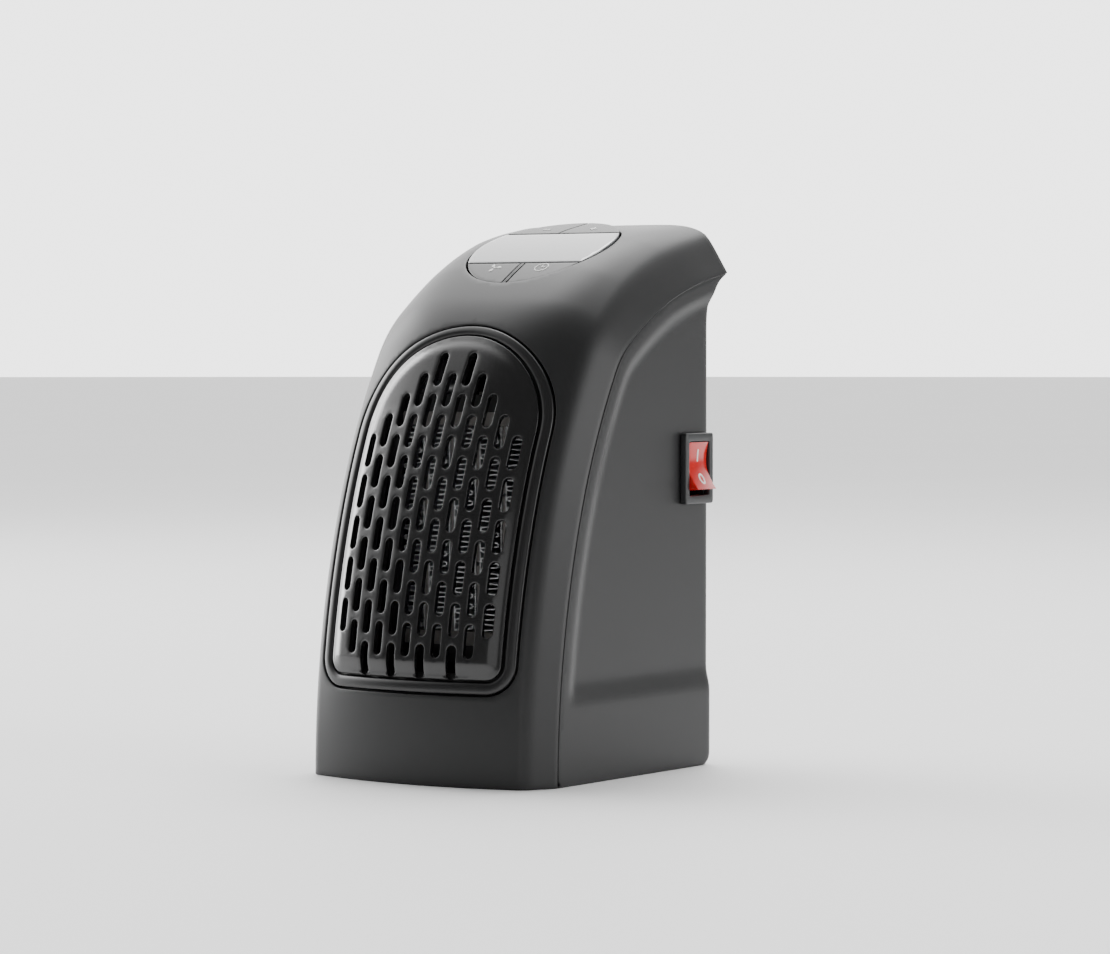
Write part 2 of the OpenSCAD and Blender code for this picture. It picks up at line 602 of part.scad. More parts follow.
cutout_y = core_y0 + 7;
module thermal_cutout() color([0.75, 0.74, 0.7]) {
    translate([10, 0, core_high + frame_side]) {
        translate([0, cutout_y, 0]) cylinder(r = 5.5, h = 6);
        box([-8, cutout_y - 2, 0], [8, cutout_y + 2, 0.8]);
        for (s = [-1, 1]) box([s * 3 - 0.8, cutout_y - 0.4, 5.5], [s * 3 + 0.8, cutout_y + 0.4, 10]);
    }
}
module thermal_fuse() color([0.8, 0.8, 0.82]) {
    z = core_high + frame_side + 2;
    translate([-18, cutout_y, z]) along_x(0) cylinder(r = 2, h = 11);
    translate([-22, cutout_y, z]) along_x(0) cylinder(r = 0.5, h = 19);
    box([-14, cutout_y - 1, z - 2], [-11, cutout_y + 1, z]);
}
module air_sensor() color([0.1, 0.1, 0.1]) {
    z = core_low - frame_side - 4;
    translate([0, cutout_y, z]) sphere(r = 1.8);
    translate([0, cutout_y, z]) cylinder(r = 0.7, h = 4);
}

// ---- fan -------------------------------------------------------------------
fan_bore = fan_w / 2 - 1.5;
tip_gap = 1;
shaft_r = 1;
base_r = hub_r - 1;
base_t = 2;
web_y = fan_y + fan_d - base_t;
module fan_frame() color([0.1, 0.1, 0.1]) translate([0, 0, core_z]) difference() {
    union() {
        difference() {
            box([-fan_w / 2, fan_y, -fan_w / 2], [fan_w / 2, fan_y + fan_d, fan_w / 2]);
            along_y(fan_y - cut) cylinder(r = fan_bore, h = fan_d + 2 * cut, $fn = 96);
        }
        along_y(web_y) cylinder(r = base_r, h = base_t);
        for (a = [45:90:315]) rotate([0, a, 0])
            box([base_r - 2, web_y, -1.2], [fan_bore + 1, web_y + base_t, 1.2]);
        along_y(web_y - 7) cylinder(r = 4, h = 7 + base_t / 2);
    }
    along_y(web_y - 8) cylinder(r = 2.5, h = 8.5 + base_t / 2);
    for (p = fan_holes) translate([p[0], 0, p[1]]) along_y(fan_y - cut)
        cylinder(r = 1.5, h = fan_d + 2 * cut);
}
module fan_bearing() color([0.75, 0.6, 0.3]) translate([0, 0, core_z]) along_y(web_y - 7)
    ring(2.5, shaft_r + fit, 7.5);
module fan_stator() color([0.7, 0.4, 0.2]) translate([0, 0, core_z]) along_y(web_y - 6) difference() {
    union() {
        for (a = [0:90:270]) rotate([0, 0, a]) translate([3.8, -1.8, 0]) cube([4.6, 3.6, 5]);
        cylinder(r = 5.2, h = 5);
    }
    translate([0, 0, -cut]) cylinder(r = 4 + fit, h = 7);
}
module fan_shaft() color([0.8, 0.8, 0.8]) translate([0, 0, core_z]) along_y(fan_y + 1.8)
    cylinder(r = shaft_r, h = web_y - fan_y - 2);
hub_front = fan_y + 1;
hub_back = web_y - 0.8;
module fan_rotor() color([0.12, 0.12, 0.13]) translate([0, 0, core_z]) {
    difference() {
        along_y(hub_front) cylinder(r = hub_r, h = hub_back - hub_front);
        along_y(hub_front + 2) cylinder(r = hub_r - 1.5, h = hub_back - hub_front);
        along_y(fan_y + 1.8) cylinder(r = shaft_r, h = 4);
    }
    for (a = [0:360 / blades:359]) rotate([0, a, 0])
        translate([hub_r - 0.8, (hub_front + hub_back) / 2, 0]) rotate([38, 0, 0])
        box([0, -5, -0.7], [fan_bore - tip_gap - hub_r + 0.8, 5, 0.7]);
}
module fan_magnet() color([0.2, 0.2, 0.2]) translate([0, 0, core_z]) along_y(hub_front + 3)
    ring(hub_r - 1.5, hub_r - 3.5, hub_back - hub_front - 3.5);
module fan_screws() color([0.75, 0.75, 0.76]) for (p = fan_holes)
    translate([p[0], fan_y + fan_d, core_z + p[1]])
    rotate([-90, 0, 0]) screw(2.6, 1.6, 1.1, fan_d + 3);

// ---- main board ------------------------------------------------------------
board_top = board_z + board_t;
module main_board() color([0.55, 0.42, 0.2]) difference() {
    box([-board_x, board_y0, board_z], [board_x, board_y1, board_top]);
    for (p = board_posts) translate([p[0], p[1], board_z - cut]) cylinder(r = 1.5, h = board_t + 2 * cut);
}
module film_capacitor() color([0.75, 0.55, 0.1])
    box([-24, board_y0 + 8, board_top], [-6, board_y0 + 15, board_top + 12]);
module supply_capacitors() color([0.1, 0.12, 0.2]) for (x = [2, 12])
    translate([x, board_y0 + 12, board_top]) cylinder(r = 4, h = 12);
module heater_relay() color([0.12, 0.25, 0.5])
    box([-26, board_y0 + 20, board_top], [-7, board_y0 + 35, board_top + 15]);
module choke_coil() color([0.65, 0.35, 0.15]) translate([4, board_y0 + 28, board_top]) ring(7, 3, 7);
module terminal_block() color([0.15, 0.45, 0.2]) difference() {
    box([16, board_y0 + 20, board_top], [28, board_y0 + 40, board_top + 10]);
    for (y = [25:5:35]) translate([22, board_y0 + y, board_top + 3]) cylinder(r = 1.6, h = 10);
}
module board_screws() color([0.75, 0.75, 0.76]) for (p = board_posts) translate([p[0], p[1], board_top])
    screw(2.6, 1.6, 1.1, 6);

// ---- rocker switch ---------------------------------------------------------
bezel_in = recess_in;               // the bezel lies on the pressed side panel
bezel_t = 2.3;
bezel_out = bezel_in + bezel_t;
well_w = bezel_w - 4;               // window of the bezel for the rocker
well_h = bezel_h - 5;
switch_depth = 16;
pivot_x = bezel_out - 2.6;
module at_switch() { translate([0, switch_y, switch_z]) children(); }
module switch_body() color([0.07, 0.07, 0.08]) at_switch() difference() {
    union() {
        box([bezel_in, -bezel_w / 2, -bezel_h / 2], [bezel_out, bezel_w / 2, bezel_h / 2]);
        box([bezel_in - switch_depth, -socket_w / 2 + 0.1, -socket_h / 2 + 0.1],
            [bezel_in + cut, socket_w / 2 - 0.1, socket_h / 2 - 0.1]);
    }
    box([bezel_in - switch_depth + 1.5, -well_w / 2, -well_h / 2], [bezel_out + cut, well_w / 2, well_h / 2]);
    translate([pivot_x, -socket_w / 2 - cut, 0]) rotate([-90, 0, 0])
        cylinder(r = 1.2 + fit, h = socket_w + 2 * cut);
    for (z = [-5, 0, 5]) box([bezel_in - switch_depth - cut, -2.5, z - 0.5],
        [bezel_in - switch_depth + 2, 2.5, z + 0.5]);
}
rocker_half = well_h / 2 - 0.9;
rocker_wide = well_w - 2 * clear;
rocker_top = 3.9;       // height of the rocker's two ends over its pivot
tip_reach = 9.7;        // from the pivot to the tip of the sprung plunger
// the rocker is drawn level and set on its upper end, as when the heater is on
module at_rocker() { at_switch() translate([pivot_x, 0, 0]) rotate([0, -rocker_tilt, 0]) children(); }
module rocker() color([0.75, 0.05, 0.05]) at_rocker() {
    difference() {
        drawn_xz(-rocker_wide / 2, rocker_wide)
            polygon([[-2.5, 0.8 - rocker_half], [rocker_top, -rocker_half], [1.8, 0],
            [rocker_top, rocker_half], [-2.5, rocker_half - 0.8], [-2.5, 3], [-6, 2], [-6, -2], [-2.5, -3]]);
        along_x(-7) cylinder(r = 1.2, h = 5.5, $fn = 24);
    }
    along_y(0.4 - socket_w / 2) cylinder(r = 1.2, h = socket_w - 0.8);
}
module rocker_plunger() color([0.85, 0.85, 0.8]) at_rocker() {
    along_x(1.1 - tip_reach) cylinder(r = 1.1, h = tip_reach - 3, $fn = 24);
    translate([1.1 - tip_reach, 0, 0]) sphere(r = 1.1, $fn = 24);
}
lever_x = bezel_in - switch_depth + 5;
lever_tilt = rocker_tilt * 0.75;
module contact_lever() color([0.8, 0.55, 0.3]) at_switch() translate([lever_x, 0, 0])
    rotate([0, lever_tilt, 0]) {
    box([0, -2, -6], [0.6, 2, 6]);
    along_y(-2.2) cylinder(r = 0.7, h = 4.4);
    for (s = [-1, 1]) translate([-0.5, 0, s * 5]) along_x(0) cylinder(r = 1, h = 1, $fn = 24);
}
module switch_terminals() color([0.8, 0.8, 0.8]) at_switch() for (z = [-5, 0, 5])
    box([bezel_in - switch_depth - 7, -2.4, z - 0.4],
        [bezel_in - switch_depth + (z == 0 ? 4.2 : 3.2), 2.4, z + 0.4]);

// ---- rear ------------------------------------------------------------------
filter_t = 1.2;
filter_half = boss_x - boss_r - 1;
module dust_filter() color([0.12, 0.12, 0.12]) difference() {
    box([-filter_half, y_rear - wall - filter_t, z0 + (vent_low - 3) * kz],
            [filter_half, y_rear - wall, z0 + vent_high * kz + 1]);
    for (x = [2 - vent_half:6:vent_half - 5], z = [vent_low:vent_step:vent_high])
        box([x, y_rear - wall - filter_t - cut, z0 + z * kz - 0.6],
            [x + 4, y_rear - wall + cut, z0 + z * kz + vent_h]);
}
neck_r = hole_r - clear;
skirt_t = 1.6;
neck_in = 3;            // how far the neck reaches past the wall
root_r = pin_d / 2 - 0.3;  // a pin's root is thinner than its free end
module at_plug() { translate([0, 0, plug_z]) children(); }
module plug_turntable() color([0.14, 0.14, 0.15]) at_plug() difference() {
    union() {
        along_y(y_rear + clear) cylinder(r = table_r, h = skirt_t);
        along_y(y_rear - wall - neck_in) cylinder(r = neck_r, h = wall + neck_in + clear + skirt_t / 2);
        along_y(y_rear + clear + skirt_t / 2) cylinder(r = nose_r, h = nose_l - skirt_t / 2);
        along_y(y_rear - wall - neck_in - 3) cylinder(r = 9, h = 4);
    }
    for (s = [-1, 1]) translate([s * pin_gap / 2, 0, 0]) along_y(y_rear - wall - neck_in - 4)
        cylinder(r = root_r, h = nose_l + 20);
    // finger hollows beside the nose
    for (s = [-1, 1]) translate([0, 0, s * (nose_r + 2)]) along_y(y_rear + clear + skirt_t)
        cylinder(r = 5, h = nose_l);
}
pin_root = y_rear - wall - neck_in - 2.5;
nose_face = y_rear + clear + nose_l;
module plug_pins() color([0.82, 0.82, 0.83]) at_plug() for (s = [-1, 1]) translate([s * pin_gap / 2, 0, 0]) {
    along_y(pin_root) cylinder(r = root_r, h = nose_face - pin_root);
    along_y(nose_face) cylinder(d = pin_d, h = pin_l - pin_d / 2);
    translate([0, nose_face + pin_l - pin_d / 2, 0]) sphere(d = pin_d);
}
ring_y = y_rear - wall - neck_in - 1.2;
module slip_rings() color([0.8, 0.6, 0.3]) at_plug() {
    along_y(ring_y) difference() {
        ring(neck_r - 1, neck_r - 3.5, 1.2);
        for (s = [-1, 1]) translate([s * pin_gap / 2, 0, -cut]) cylinder(r = root_r + 0.1, h = 4);
    }
    along_y(ring_y) difference() {
        ring(13.4, 11, 1.2);
        for (s = [-1, 1]) translate([s * pin_gap / 2, 0, -cut]) cylinder(r = root_r + 0.1, h = 4);
    }
}
retainer_y = y_rear - wall - 5 - 1.6;
module plug_retainer() color([0.75, 0.75, 0.76]) at_plug() difference() {
    along_y(retainer_y) ring(table_r + 6, neck_r + 0.5, 1.6);
    for (p = retainer_posts) translate([p[0], 0, p[1]]) along_y(retainer_y - cut) cylinder(r = 1.4, h = 4);
}
module retainer_screws() color([0.75, 0.75, 0.76]) at_plug() for (p = retainer_posts)
    translate([p[0], retainer_y, p[1]])
    rotate([90, 0, 0]) screw(2.4, 1.4, 1.1, 6);
module contact_springs() color([0.85, 0.65, 0.3]) at_plug() for (s = [-1, 1]) {
    r = s > 0 ? neck_r - 2.2 : 12.6;
    translate([0, 0, s * r]) {
        box([-2, ring_y - 0.75, -0.8], [2, ring_y - 0.35, 0.8]);
        box([-2, ring_y - 3, -0.8], [-1.4, ring_y - 0.35, 0.8]);
    }
}
module detent_spring() color([0.8, 0.8, 0.82]) at_plug() {
    box([-5, retainer_y - 0.6, -table_r - 5], [5, retainer_y, -table_r + 1]);
}

// ---- wires, screws and feet ------------------------------------------------
wire_r = 1;
core_under = core_low - frame_side;
tab_back = bezel_in - switch_depth - 7;
module heater_wires() color([0.75, 0.1, 0.08]) for (s = [-1, 1])
    wire([[s * 14, core_y1 - 4, core_under], [s * 14, core_y1 - 4, core_under - 4],
        [s * 15, core_y1 - 2, core_under - 7],
        [20 + s * 2.5, board_y0 + 28, board_top + 15], [22, board_y0 + 30 + s * 2.5, board_top + 12],
        [22, board_y0 + 30 + s * 2.5, board_top + 10]], wire_r);
module switch_wires() color([0.1, 0.1, 0.12]) for (k = [0, 1])
    wire([[tab_back, switch_y, switch_z + 5 * k], [tab_back - 4, switch_y, switch_z + 5 * k],
        [tab_back - 6, switch_y - 1, switch_z - 6 + 5 * k],
            [tab_back - 6 + 3 * k, switch_y - 6, switch_z - 24],
        [23 + 3 * k, board_y0 + 42, board_top + 22], [22 + 3 * k, board_y0 + 37, board_top + 14],
        [22 + 3 * k, board_y0 + 37, board_top + 10]], wire_r);
module fan_wires() color([0.8, 0.15, 0.1]) for (k = [0, 1])
    let (x = -14 - 2 * k, y = fan_y + fan_d, z = core_z - fan_w / 2, end_y = board_y0 + 38)
        wire([[x, y, z + 1], [x, y + 3, z + 1], [x, y + 4, z - 3], [x - 2, end_y, board_top + 5],
            [x - 2, end_y, board_top]], 0.7);
module housing_screws() color([0.3, 0.3, 0.31]) for (s = [-1, 1]) {
    translate([s * boss_x, y_rear - 6, boss_z]) rotate([-90, 0, 0])
        screw(2.7, 1.8, 1.1, y_rear - 6 - boss_join + 8);
    translate([s * foot_boss_x, foot_boss_y, z0 + 1.2]) rotate([180, 0, 0]) screw(2.3, 1.0, 1.1, 9);
}
module rubber_feet() color([0.05, 0.05, 0.05]) for (s = [-1, 1], y = foot_ys)
    translate([s * foot_x, y, z0]) cylinder(r = foot_r, h = pad_t);

front_cover();
rear_housing();
grille_ring();
front_grille();
panel_tray();
display_window();
speed_button();
timer_button();
warmer_button();
cooler_button();
speed_plunger();
timer_plunger();
warmer_plunger();
cooler_plunger();
tact_switches();
led_display();
control_board();
panel_screws();
core_frame();
ceramic_stones();
heater_fins();
electrode_plates();
core_insulators();
thermal_cutout();
thermal_fuse();
air_sensor();
fan_frame();
fan_stator();
fan_bearing();
fan_shaft();
fan_rotor();
fan_magnet();
fan_screws();
main_board();
film_capacitor();
supply_capacitors();
heater_relay();
choke_coil();
terminal_block();
board_screws();
switch_body();
rocker();
rocker_plunger();
contact_lever();
switch_terminals();
dust_filter();
plug_turntable();
plug_pins();
slip_rings();
plug_retainer();
retainer_screws();
contact_springs();
detent_spring();
heater_wires();
switch_wires();
fan_wires();
housing_screws();
rubber_feet();
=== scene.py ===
import json
import math

import bpy
import numpy as np
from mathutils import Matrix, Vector
from mathutils.geometry import delaunay_2d_cdt


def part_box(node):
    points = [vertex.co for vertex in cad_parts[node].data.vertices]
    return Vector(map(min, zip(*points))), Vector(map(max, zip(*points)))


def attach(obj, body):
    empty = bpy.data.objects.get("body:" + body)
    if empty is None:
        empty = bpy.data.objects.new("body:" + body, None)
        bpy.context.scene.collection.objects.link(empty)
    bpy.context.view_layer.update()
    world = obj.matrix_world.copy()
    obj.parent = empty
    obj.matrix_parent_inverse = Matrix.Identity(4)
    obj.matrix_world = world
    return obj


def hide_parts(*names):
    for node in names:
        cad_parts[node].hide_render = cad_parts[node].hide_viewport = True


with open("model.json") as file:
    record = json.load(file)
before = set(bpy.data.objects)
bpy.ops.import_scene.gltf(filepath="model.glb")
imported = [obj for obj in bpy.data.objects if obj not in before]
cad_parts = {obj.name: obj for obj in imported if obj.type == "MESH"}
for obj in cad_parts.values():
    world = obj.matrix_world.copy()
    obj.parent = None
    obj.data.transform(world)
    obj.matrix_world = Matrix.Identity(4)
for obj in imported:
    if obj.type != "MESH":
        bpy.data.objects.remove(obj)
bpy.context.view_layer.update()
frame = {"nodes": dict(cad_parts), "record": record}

MM = 0.001


# ---- sizes of the frame, in millimetres ------------------------------------
def corner(node, which):
    """The lowest (0) or highest (1) corner of a CAD node, in millimetres."""
    return Vector(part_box(node)[which]) / MM


wall = 2.2
body_h = 163.2
y_mid = 6
half_w = corner("rear_housing", 1).x
y_rear = corner("dust_filter", 1).y + wall
y_seam = 2 * y_mid - y_rear
crease_in = 5.1
flank_w = 9.7
crease_x = half_w - crease_in
bow = 7.5
ky = (y_rear - y_seam) / 82
kz = body_h / 162.4


def lookup(x, table):
    """The value at x on a line through the table's points."""
    return float(np.interp(x, [p[0] for p in table], [p[1] for p in table]))


def smooth(x):
    x = min(max(x, 0), 1)
    return x * x * (3 - 2 * x)


# ---- the front's curve: arcs from foot to hood, then straight to the lip ----
arcs = ((268, 17.6), (200, 13), (34, 23), (138, 22))
foot_t = -9.6
lip_t = 87
starts = [(0, 0, foot_t, 0)]
for radius, sweep in arcs:
    s0, a0, t0, z0 = starts[-1]
    a, b = math.radians(a0), math.radians(a0 + sweep)
    starts.append((s0 + radius * math.radians(sweep), a0 + sweep,
        t0 + radius * (math.cos(a) - math.cos(b)), z0 + radius * (math.sin(b) - math.sin(a))))
tail_s, tail_a, tail_t, tail_z = starts[-1]
hood_end = tail_s + (lip_t - tail_t) / math.sin(math.radians(tail_a))


def crease(s):
    """y, z, normal y and z, bow height and squareness at the length s along the crease."""
    if s >= tail_s:
        lean = math.radians(tail_a)
        t = tail_t + (s - tail_s) * math.sin(lean)
        z = tail_z + (s - tail_s) * math.cos(lean)
    else:
        k = max(i for i in range(len(arcs)) if starts[i][0] <= max(s, 0))
        s0, a0, t0, z0 = starts[k]
        radius = arcs[k][0]
        first = math.radians(a0)
        lean = first + (s - s0) / radius
        t = t0 + radius * (math.cos(first) - math.cos(lean))
        z = z0 + radius * (math.sin(lean) - math.sin(first))
    n = Vector((-math.cos(lean) / ky, math.sin(lean) / kz)).normalized()
    height = min(lookup(t, ((0, bow), (44, bow * 1.04), (64, bow * 0.9), (89, bow * 0.48))),
        lookup(z, ((0, bow * 0.8), (25, bow), (60, bow * 1.05))))
    square = lookup(t, ((12, 2), (30, 4), (54, 6), (89, 8)))
    flank = lookup(t, ((55, flank_w), (lip_t, flank_w * 1.17)))
    return y_seam + t * ky, z * kz, n.x, n.y, height, square, flank


crease_soft = 2.6       # how much of the crease is rounded away


def section(x, height, square, flank_drop, soft=crease_soft):
    """How far the front stands out of the crease line at x across it."""
    over = height * (1 - (abs(x) / crease_x) ** square)
    flank = -(abs(x) - crease_x) * flank_drop / crease_in
    h = max(soft - abs(over - flank), 0) / soft
    return min(over, flank) - h * h * soft / 4


def front(s, x, out=0):
    """A point of the front, out millimetres off its surface."""
    y, z, ny, nz, height, square, flank = crease(s)
    d = section(x, height, square, flank) + out
    return Vector((x, y + ny * d, z + nz * d))


def front_at(x, reach, low=0.0, high=hood_end + 6):
    """The length along the crease at which reach(point) crosses zero."""
    for _ in range(30):
        middle = (low + high) / 2
        if reach(front(middle, x)) < 0:
            low = middle
        else:
            high = middle
    return (low + high) / 2


def front_at_z(x, z):
    return front_at(x, lambda p: p.z - z)


seam = []
for k in range(101):
    y, z, ny, nz, _, _, flank = crease(hood_end * k / 100)
    seam.append((y - ny * flank, z - nz * flank))


# ---- mesh makers -------------------------------------------------------------
def turning(loop):
    return sum(a[0] * b[1] - b[0] * a[1] for a, b in zip(loop, loop[1:] + loop[:1]))


def inset(loop, d):
    """The loop moved d to its left."""
    result = []
    for i, here in enumerate(loop):
        before, after = Vector(loop[i - 1]), Vector(loop[(i + 1) % len(loop)])
        here = Vector(here)
        a, b = (here - before).normalized(), (after - here).normalized()
        n = Vector((-a.y - b.y, a.x + b.x)) / 2
        n = n / max(n.length_squared, 0.4)
        result.append(tuple(here + n * d))
    return result


def inside(points, loop):
    x, y = points.T
    hit = np.zeros(len(points), bool)
    for (x1, y1), (x2, y2) in zip(loop, loop[1:] + loop[:1]):
        if y1 != y2:
            hit ^= ((y1 > y) != (y2 > y)) & (x < (x2 - x1) * (y - y1) / (y2 - y1) + x1)
    return hit


def distance(points, loop):
    best = np.full(len(points), 1e9)
    for a, b in zip(loop, loop[1:] + loop[:1]):
        a, b = np.array(a), np.array(b)
        along = b - a
        f = np.clip(((points - a) @ along) / max(along @ along, 1e-12), 0, 1)
        best = np.minimum(best, np.linalg.norm(points - a - f[:, None] * along, axis=1))
    return best


rim_steps = ((0, 1), (0.12, 0.525), (0.45, 0.165), (1, 0))


def plate(outline, holes, grid, place, thick, edge=0.35, lift=None, pitch=1.5, turn=1):
    """A closed plate: a flat drawing with holes, laid on a surface, with rounded rims."""
    loops = [outline if turning(outline) > 0 else outline[::-1]]
    loops += [h if turning(h) < 0 else h[::-1] for h in holes]
    points, edges, depth, rims = [], [], [], []
    for loop in loops:
        rims.append((len(points), len(loop)))
        for step, sunk in rim_steps:
            first = len(points)
            points += inset(loop, step * edge) if step else [tuple(p) for p in loop]
            depth += [sunk * edge] * len(loop)
            edges += [(first + i, first + (i + 1) % len(loop)) for i in range(len(loop))]
    if len(grid):
        spread = np.array(grid, float)
        keep = inside(spread, loops[0])
        for hole in loops[1:]:
            keep &= ~inside(spread, hole)
        spread = spread[keep]
        far = np.ones(len(spread), bool)
        for loop in loops:
            far &= distance(spread, loop) > edge + pitch * 0.45
        points += [tuple(p) for p in spread[far]]
        depth += [0] * int(far.sum())
    made = delaunay_2d_cdt([Vector(p) for p in points], edges, [], 0, 1e-6)
    flat = np.array([tuple(v) for v in made[0]])
    source = [ids[0] if ids else -1 for ids in made[3]]
    index = {ids: i for i, ids in enumerate(source)}
    triangles = np.array([tuple(f) for f in made[2]])
    middles = flat[triangles].mean(axis=1)
    keep = inside(middles, loops[0])
    for hole in loops[1:]:
        keep &= ~inside(middles, hole)
    triangles = triangles[keep]
    raised = lift(flat, loops[0]) if lift else np.zeros(len(flat))
    outer, inner = [], []
    h = 0.05
    for i, (u, v) in enumerate(flat):
        p = place(u, v)
        n = (place(u + h, v) - place(u - h, v)).cross(place(u, v + h) - place(u, v - h)).normalized() * turn
        sunk = depth[source[i]] if source[i] >= 0 else 0
        outer.append(p + n * (raised[i] - sunk))
        inner.append(p - n * thick)
    count = len(outer)
    faces = [tuple(t) for t in triangles.tolist()]
    faces += [(c + count, b + count, a + count) for a, b, c in faces]
    for first, size in rims:
        for i in range(size):
            a, b = index[first + i], index[first + (i + 1) % size]
            faces.append((b, a, a + count, b + count))
    return outer + inner, faces


def grid_of(us, vs):
    return [(u, v) for v in vs for u in us]


def steps(a, b, pitch):
    """Even steps from a to b, both included."""
    n = max(1, round(abs(b - a) / pitch))
    return [a + (b - a) * i / n for i in range(n + 1)]


def around(points, pitch):
    """A closed loop through the points, with no side longer than the pitch."""
    loop = []
    for a, b in zip(points, points[1:] + points[:1]):
        a, b = Vector(a), Vector(b)
        n = max(1, math.ceil((b - a).length / pitch - 0.01))
        loop += [tuple(a.lerp(b, i / n)) for i in range(n)]
    return loop


def rounded(points, radius, turns=4, closed=True):
    """The points with every corner rounded."""
    result = []
    n = len(points)
    for i, here in enumerate(points):
        if not closed and i in (0, n - 1):
            result.append(tuple(here))
            continue
        here = Vector(here)
        a, b = Vector(points[i - 1]) - here, Vector(points[(i + 1) % n]) - here
        r = min(radius, a.length * 0.49, b.length * 0.49)
        p, q = here + a.normalized() * r, here + b.normalized() * r
        for j in range(turns + 1):
            f = j / turns
            result.append(tuple(p.lerp(here, f).lerp(here.lerp(q, f), f)))
    return result


def rectangle(u0, v0, u1, v1):
    return [(u0, v0), (u1, v0), (u1, v1), (u0, v1)]


def circle(cu, cv, r, sides):
    return [(cu + r * math.cos(math.tau * i / sides), cv + r * math.sin(math.tau * i / sides))
        for i in range(sides)]


def turned(profile, at, along, sides=48, shape=None, tube=False):
    """A body turned on an axis from (radius, height) points; shape may bend each radius."""
    along = Vector(along).normalized()
    side = Vector((1, 0, 0)) if abs(along.x) < 0.1 else Vector((0, 1, 0))
    other = along.cross(side)
    at = Vector(at)
    vertices, rings, faces = [], [], []
    for r, h in profile:
        if r < 1e-6 and not tube:
            rings.append([len(vertices)] * sides)
            vertices.append(at + along * h)
            continue
        rings.append(list(range(len(vertices), len(vertices) + sides)))
        for i in range(sides):
            a = math.tau * i / sides
            reach = shape(r, h, a) if shape else r
            vertices.append(at + along * h + (side * math.cos(a) + other * math.sin(a)) * reach)
    pairs = list(zip(rings, rings[1:] + rings[:1] if tube else rings[1:]))
    for lower, upper in pairs:
        for i in range(sides):
            j = (i + 1) % sides
            face = [lower[i], lower[j], upper[j], upper[i]]
            face = [v for k, v in enumerate(face) if v != face[k - 1]]
            if len(face) > 2:
                faces.append(tuple(face))
    return vertices, faces


def joined(*shapes):
    vertices, faces = [], []
    for some, sides in shapes:
        base = len(vertices)
        vertices += some
        faces += [tuple(i + base for i in f) for f in sides]
    return vertices, faces


def outward(shape):
    """The shape with its faces turned so that it holds a positive volume."""
    vertices, faces = shape
    volume = 0
    for f in faces:
        for k in range(1, len(f) - 1):
            volume += vertices[f[0]].dot(vertices[f[k]].cross(vertices[f[k + 1]]))
    return vertices, faces if volume > 0 else [f[::-1] for f in faces]


def piece(name, body, finish, shapes, nodes=(), sharp=38, soften=0):
    """One object from closed shapes; it rides on its body and stands for its CAD nodes."""
    vertices, faces = joined(*[outward(s) for s in shapes])
    mesh = bpy.data.meshes.new(name)
    mesh.from_pydata([v * MM for v in vertices], [], faces)
    mesh.update()
    mesh.shade_smooth()
    mesh.set_sharp_from_angle(angle=math.radians(sharp))
    mesh.materials.append(finish)
    made = bpy.data.objects.new(name, mesh)
    bpy.context.scene.collection.objects.link(made)
    if soften:
        bevel(made, soften)
    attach(made, body)
    if nodes:
        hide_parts(*nodes)
    return made


def bevel(made, width, segments=2):
    rounder = made.modifiers.new("rounded edges", "BEVEL")
    rounder.width = width * MM
    rounder.segments = segments
    rounder.limit_method = "ANGLE"
    rounder.angle_limit = math.radians(35)
    rounder.harden_normals = True


def slab(outline, thick, place, edge=0.3, holes=()):
    """A small plate with both rims rounded, drawn in two numbers and placed by a third."""
    rows = [(step * edge, sunk * edge) for step, sunk in rim_steps]
    up = [(d, 0 + z) for d, z in rows[::-1]]
    down = [(d, thick - z) for d, z in rows]
    levels = up[:] + down[:]
    vertices, faces = [], []
    loops = [outline if turning(outline) > 0 else outline[::-1]]
    loops += [h if turning(h) < 0 else h[::-1] for h in holes]
    caps = ([], [])
    for loop in loops:
        base = len(vertices)
        n = len(loop)
        for d, z in levels:
            vertices += [place(p[0], p[1], z) for p in (inset(loop, d) if d else loop)]
        for k in range(len(levels) - 1):
            for i in range(n):
                j = (i + 1) % n
                faces.append((base + k * n + j, base + k * n + i, base + (k + 1) * n + i,
                    base + (k + 1) * n + j))
        caps[0].append(list(range(base, base + n)))
        caps[1].append(list(range(base + (len(levels) - 1) * n, base + len(levels) * n)))
    flat_loops = [inset(loop, edge) for loop in loops]
    points = [Vector(p) for loop in flat_loops for p in loop]
    edges, first = [], 0
    for loop in flat_loops:
        edges += [(first + i, first + (i + 1) % len(loop)) for i in range(len(loop))]
        first += len(loop)
    made = delaunay_2d_cdt(points, edges, [], 0, 1e-7)
    flat = np.array([tuple(v) for v in made[0]])
    triangles = np.array([tuple(f) for f in made[2]])
    middles = flat[triangles].mean(axis=1)
    keep = inside(middles, flat_loops[0])
    for hole in flat_loops[1:]:
        keep &= ~inside(middles, hole)
    for end, turn in ((0, 1), (1, -1)):
        ids = [i for loop in caps[end] for i in loop]
        for t in triangles[keep].tolist():
            face = [ids[made[3][i][0]] for i in t]
            faces.append(tuple(face[::turn]))
    return vertices, faces


# ---- finishes ----------------------------------------------------------------
class Value:
    """A node socket that takes arithmetic; each operation adds a Math node."""

    def __init__(self, finish, socket):
        self.finish, self.socket = finish, socket

    def _math(self, operation, *terms):
        return self.finish.node("ShaderNodeMath", {"operation": operation}, dict(enumerate(terms)))

    def __add__(self, other):
        return self._math("ADD", self, other)

    def __mul__(self, other):
        return self._math("MULTIPLY", self, other)

    def __rsub__(self, other):
        return self._math("SUBTRACT", other, self)

    __radd__ = __add__
    __rmul__ = __mul__


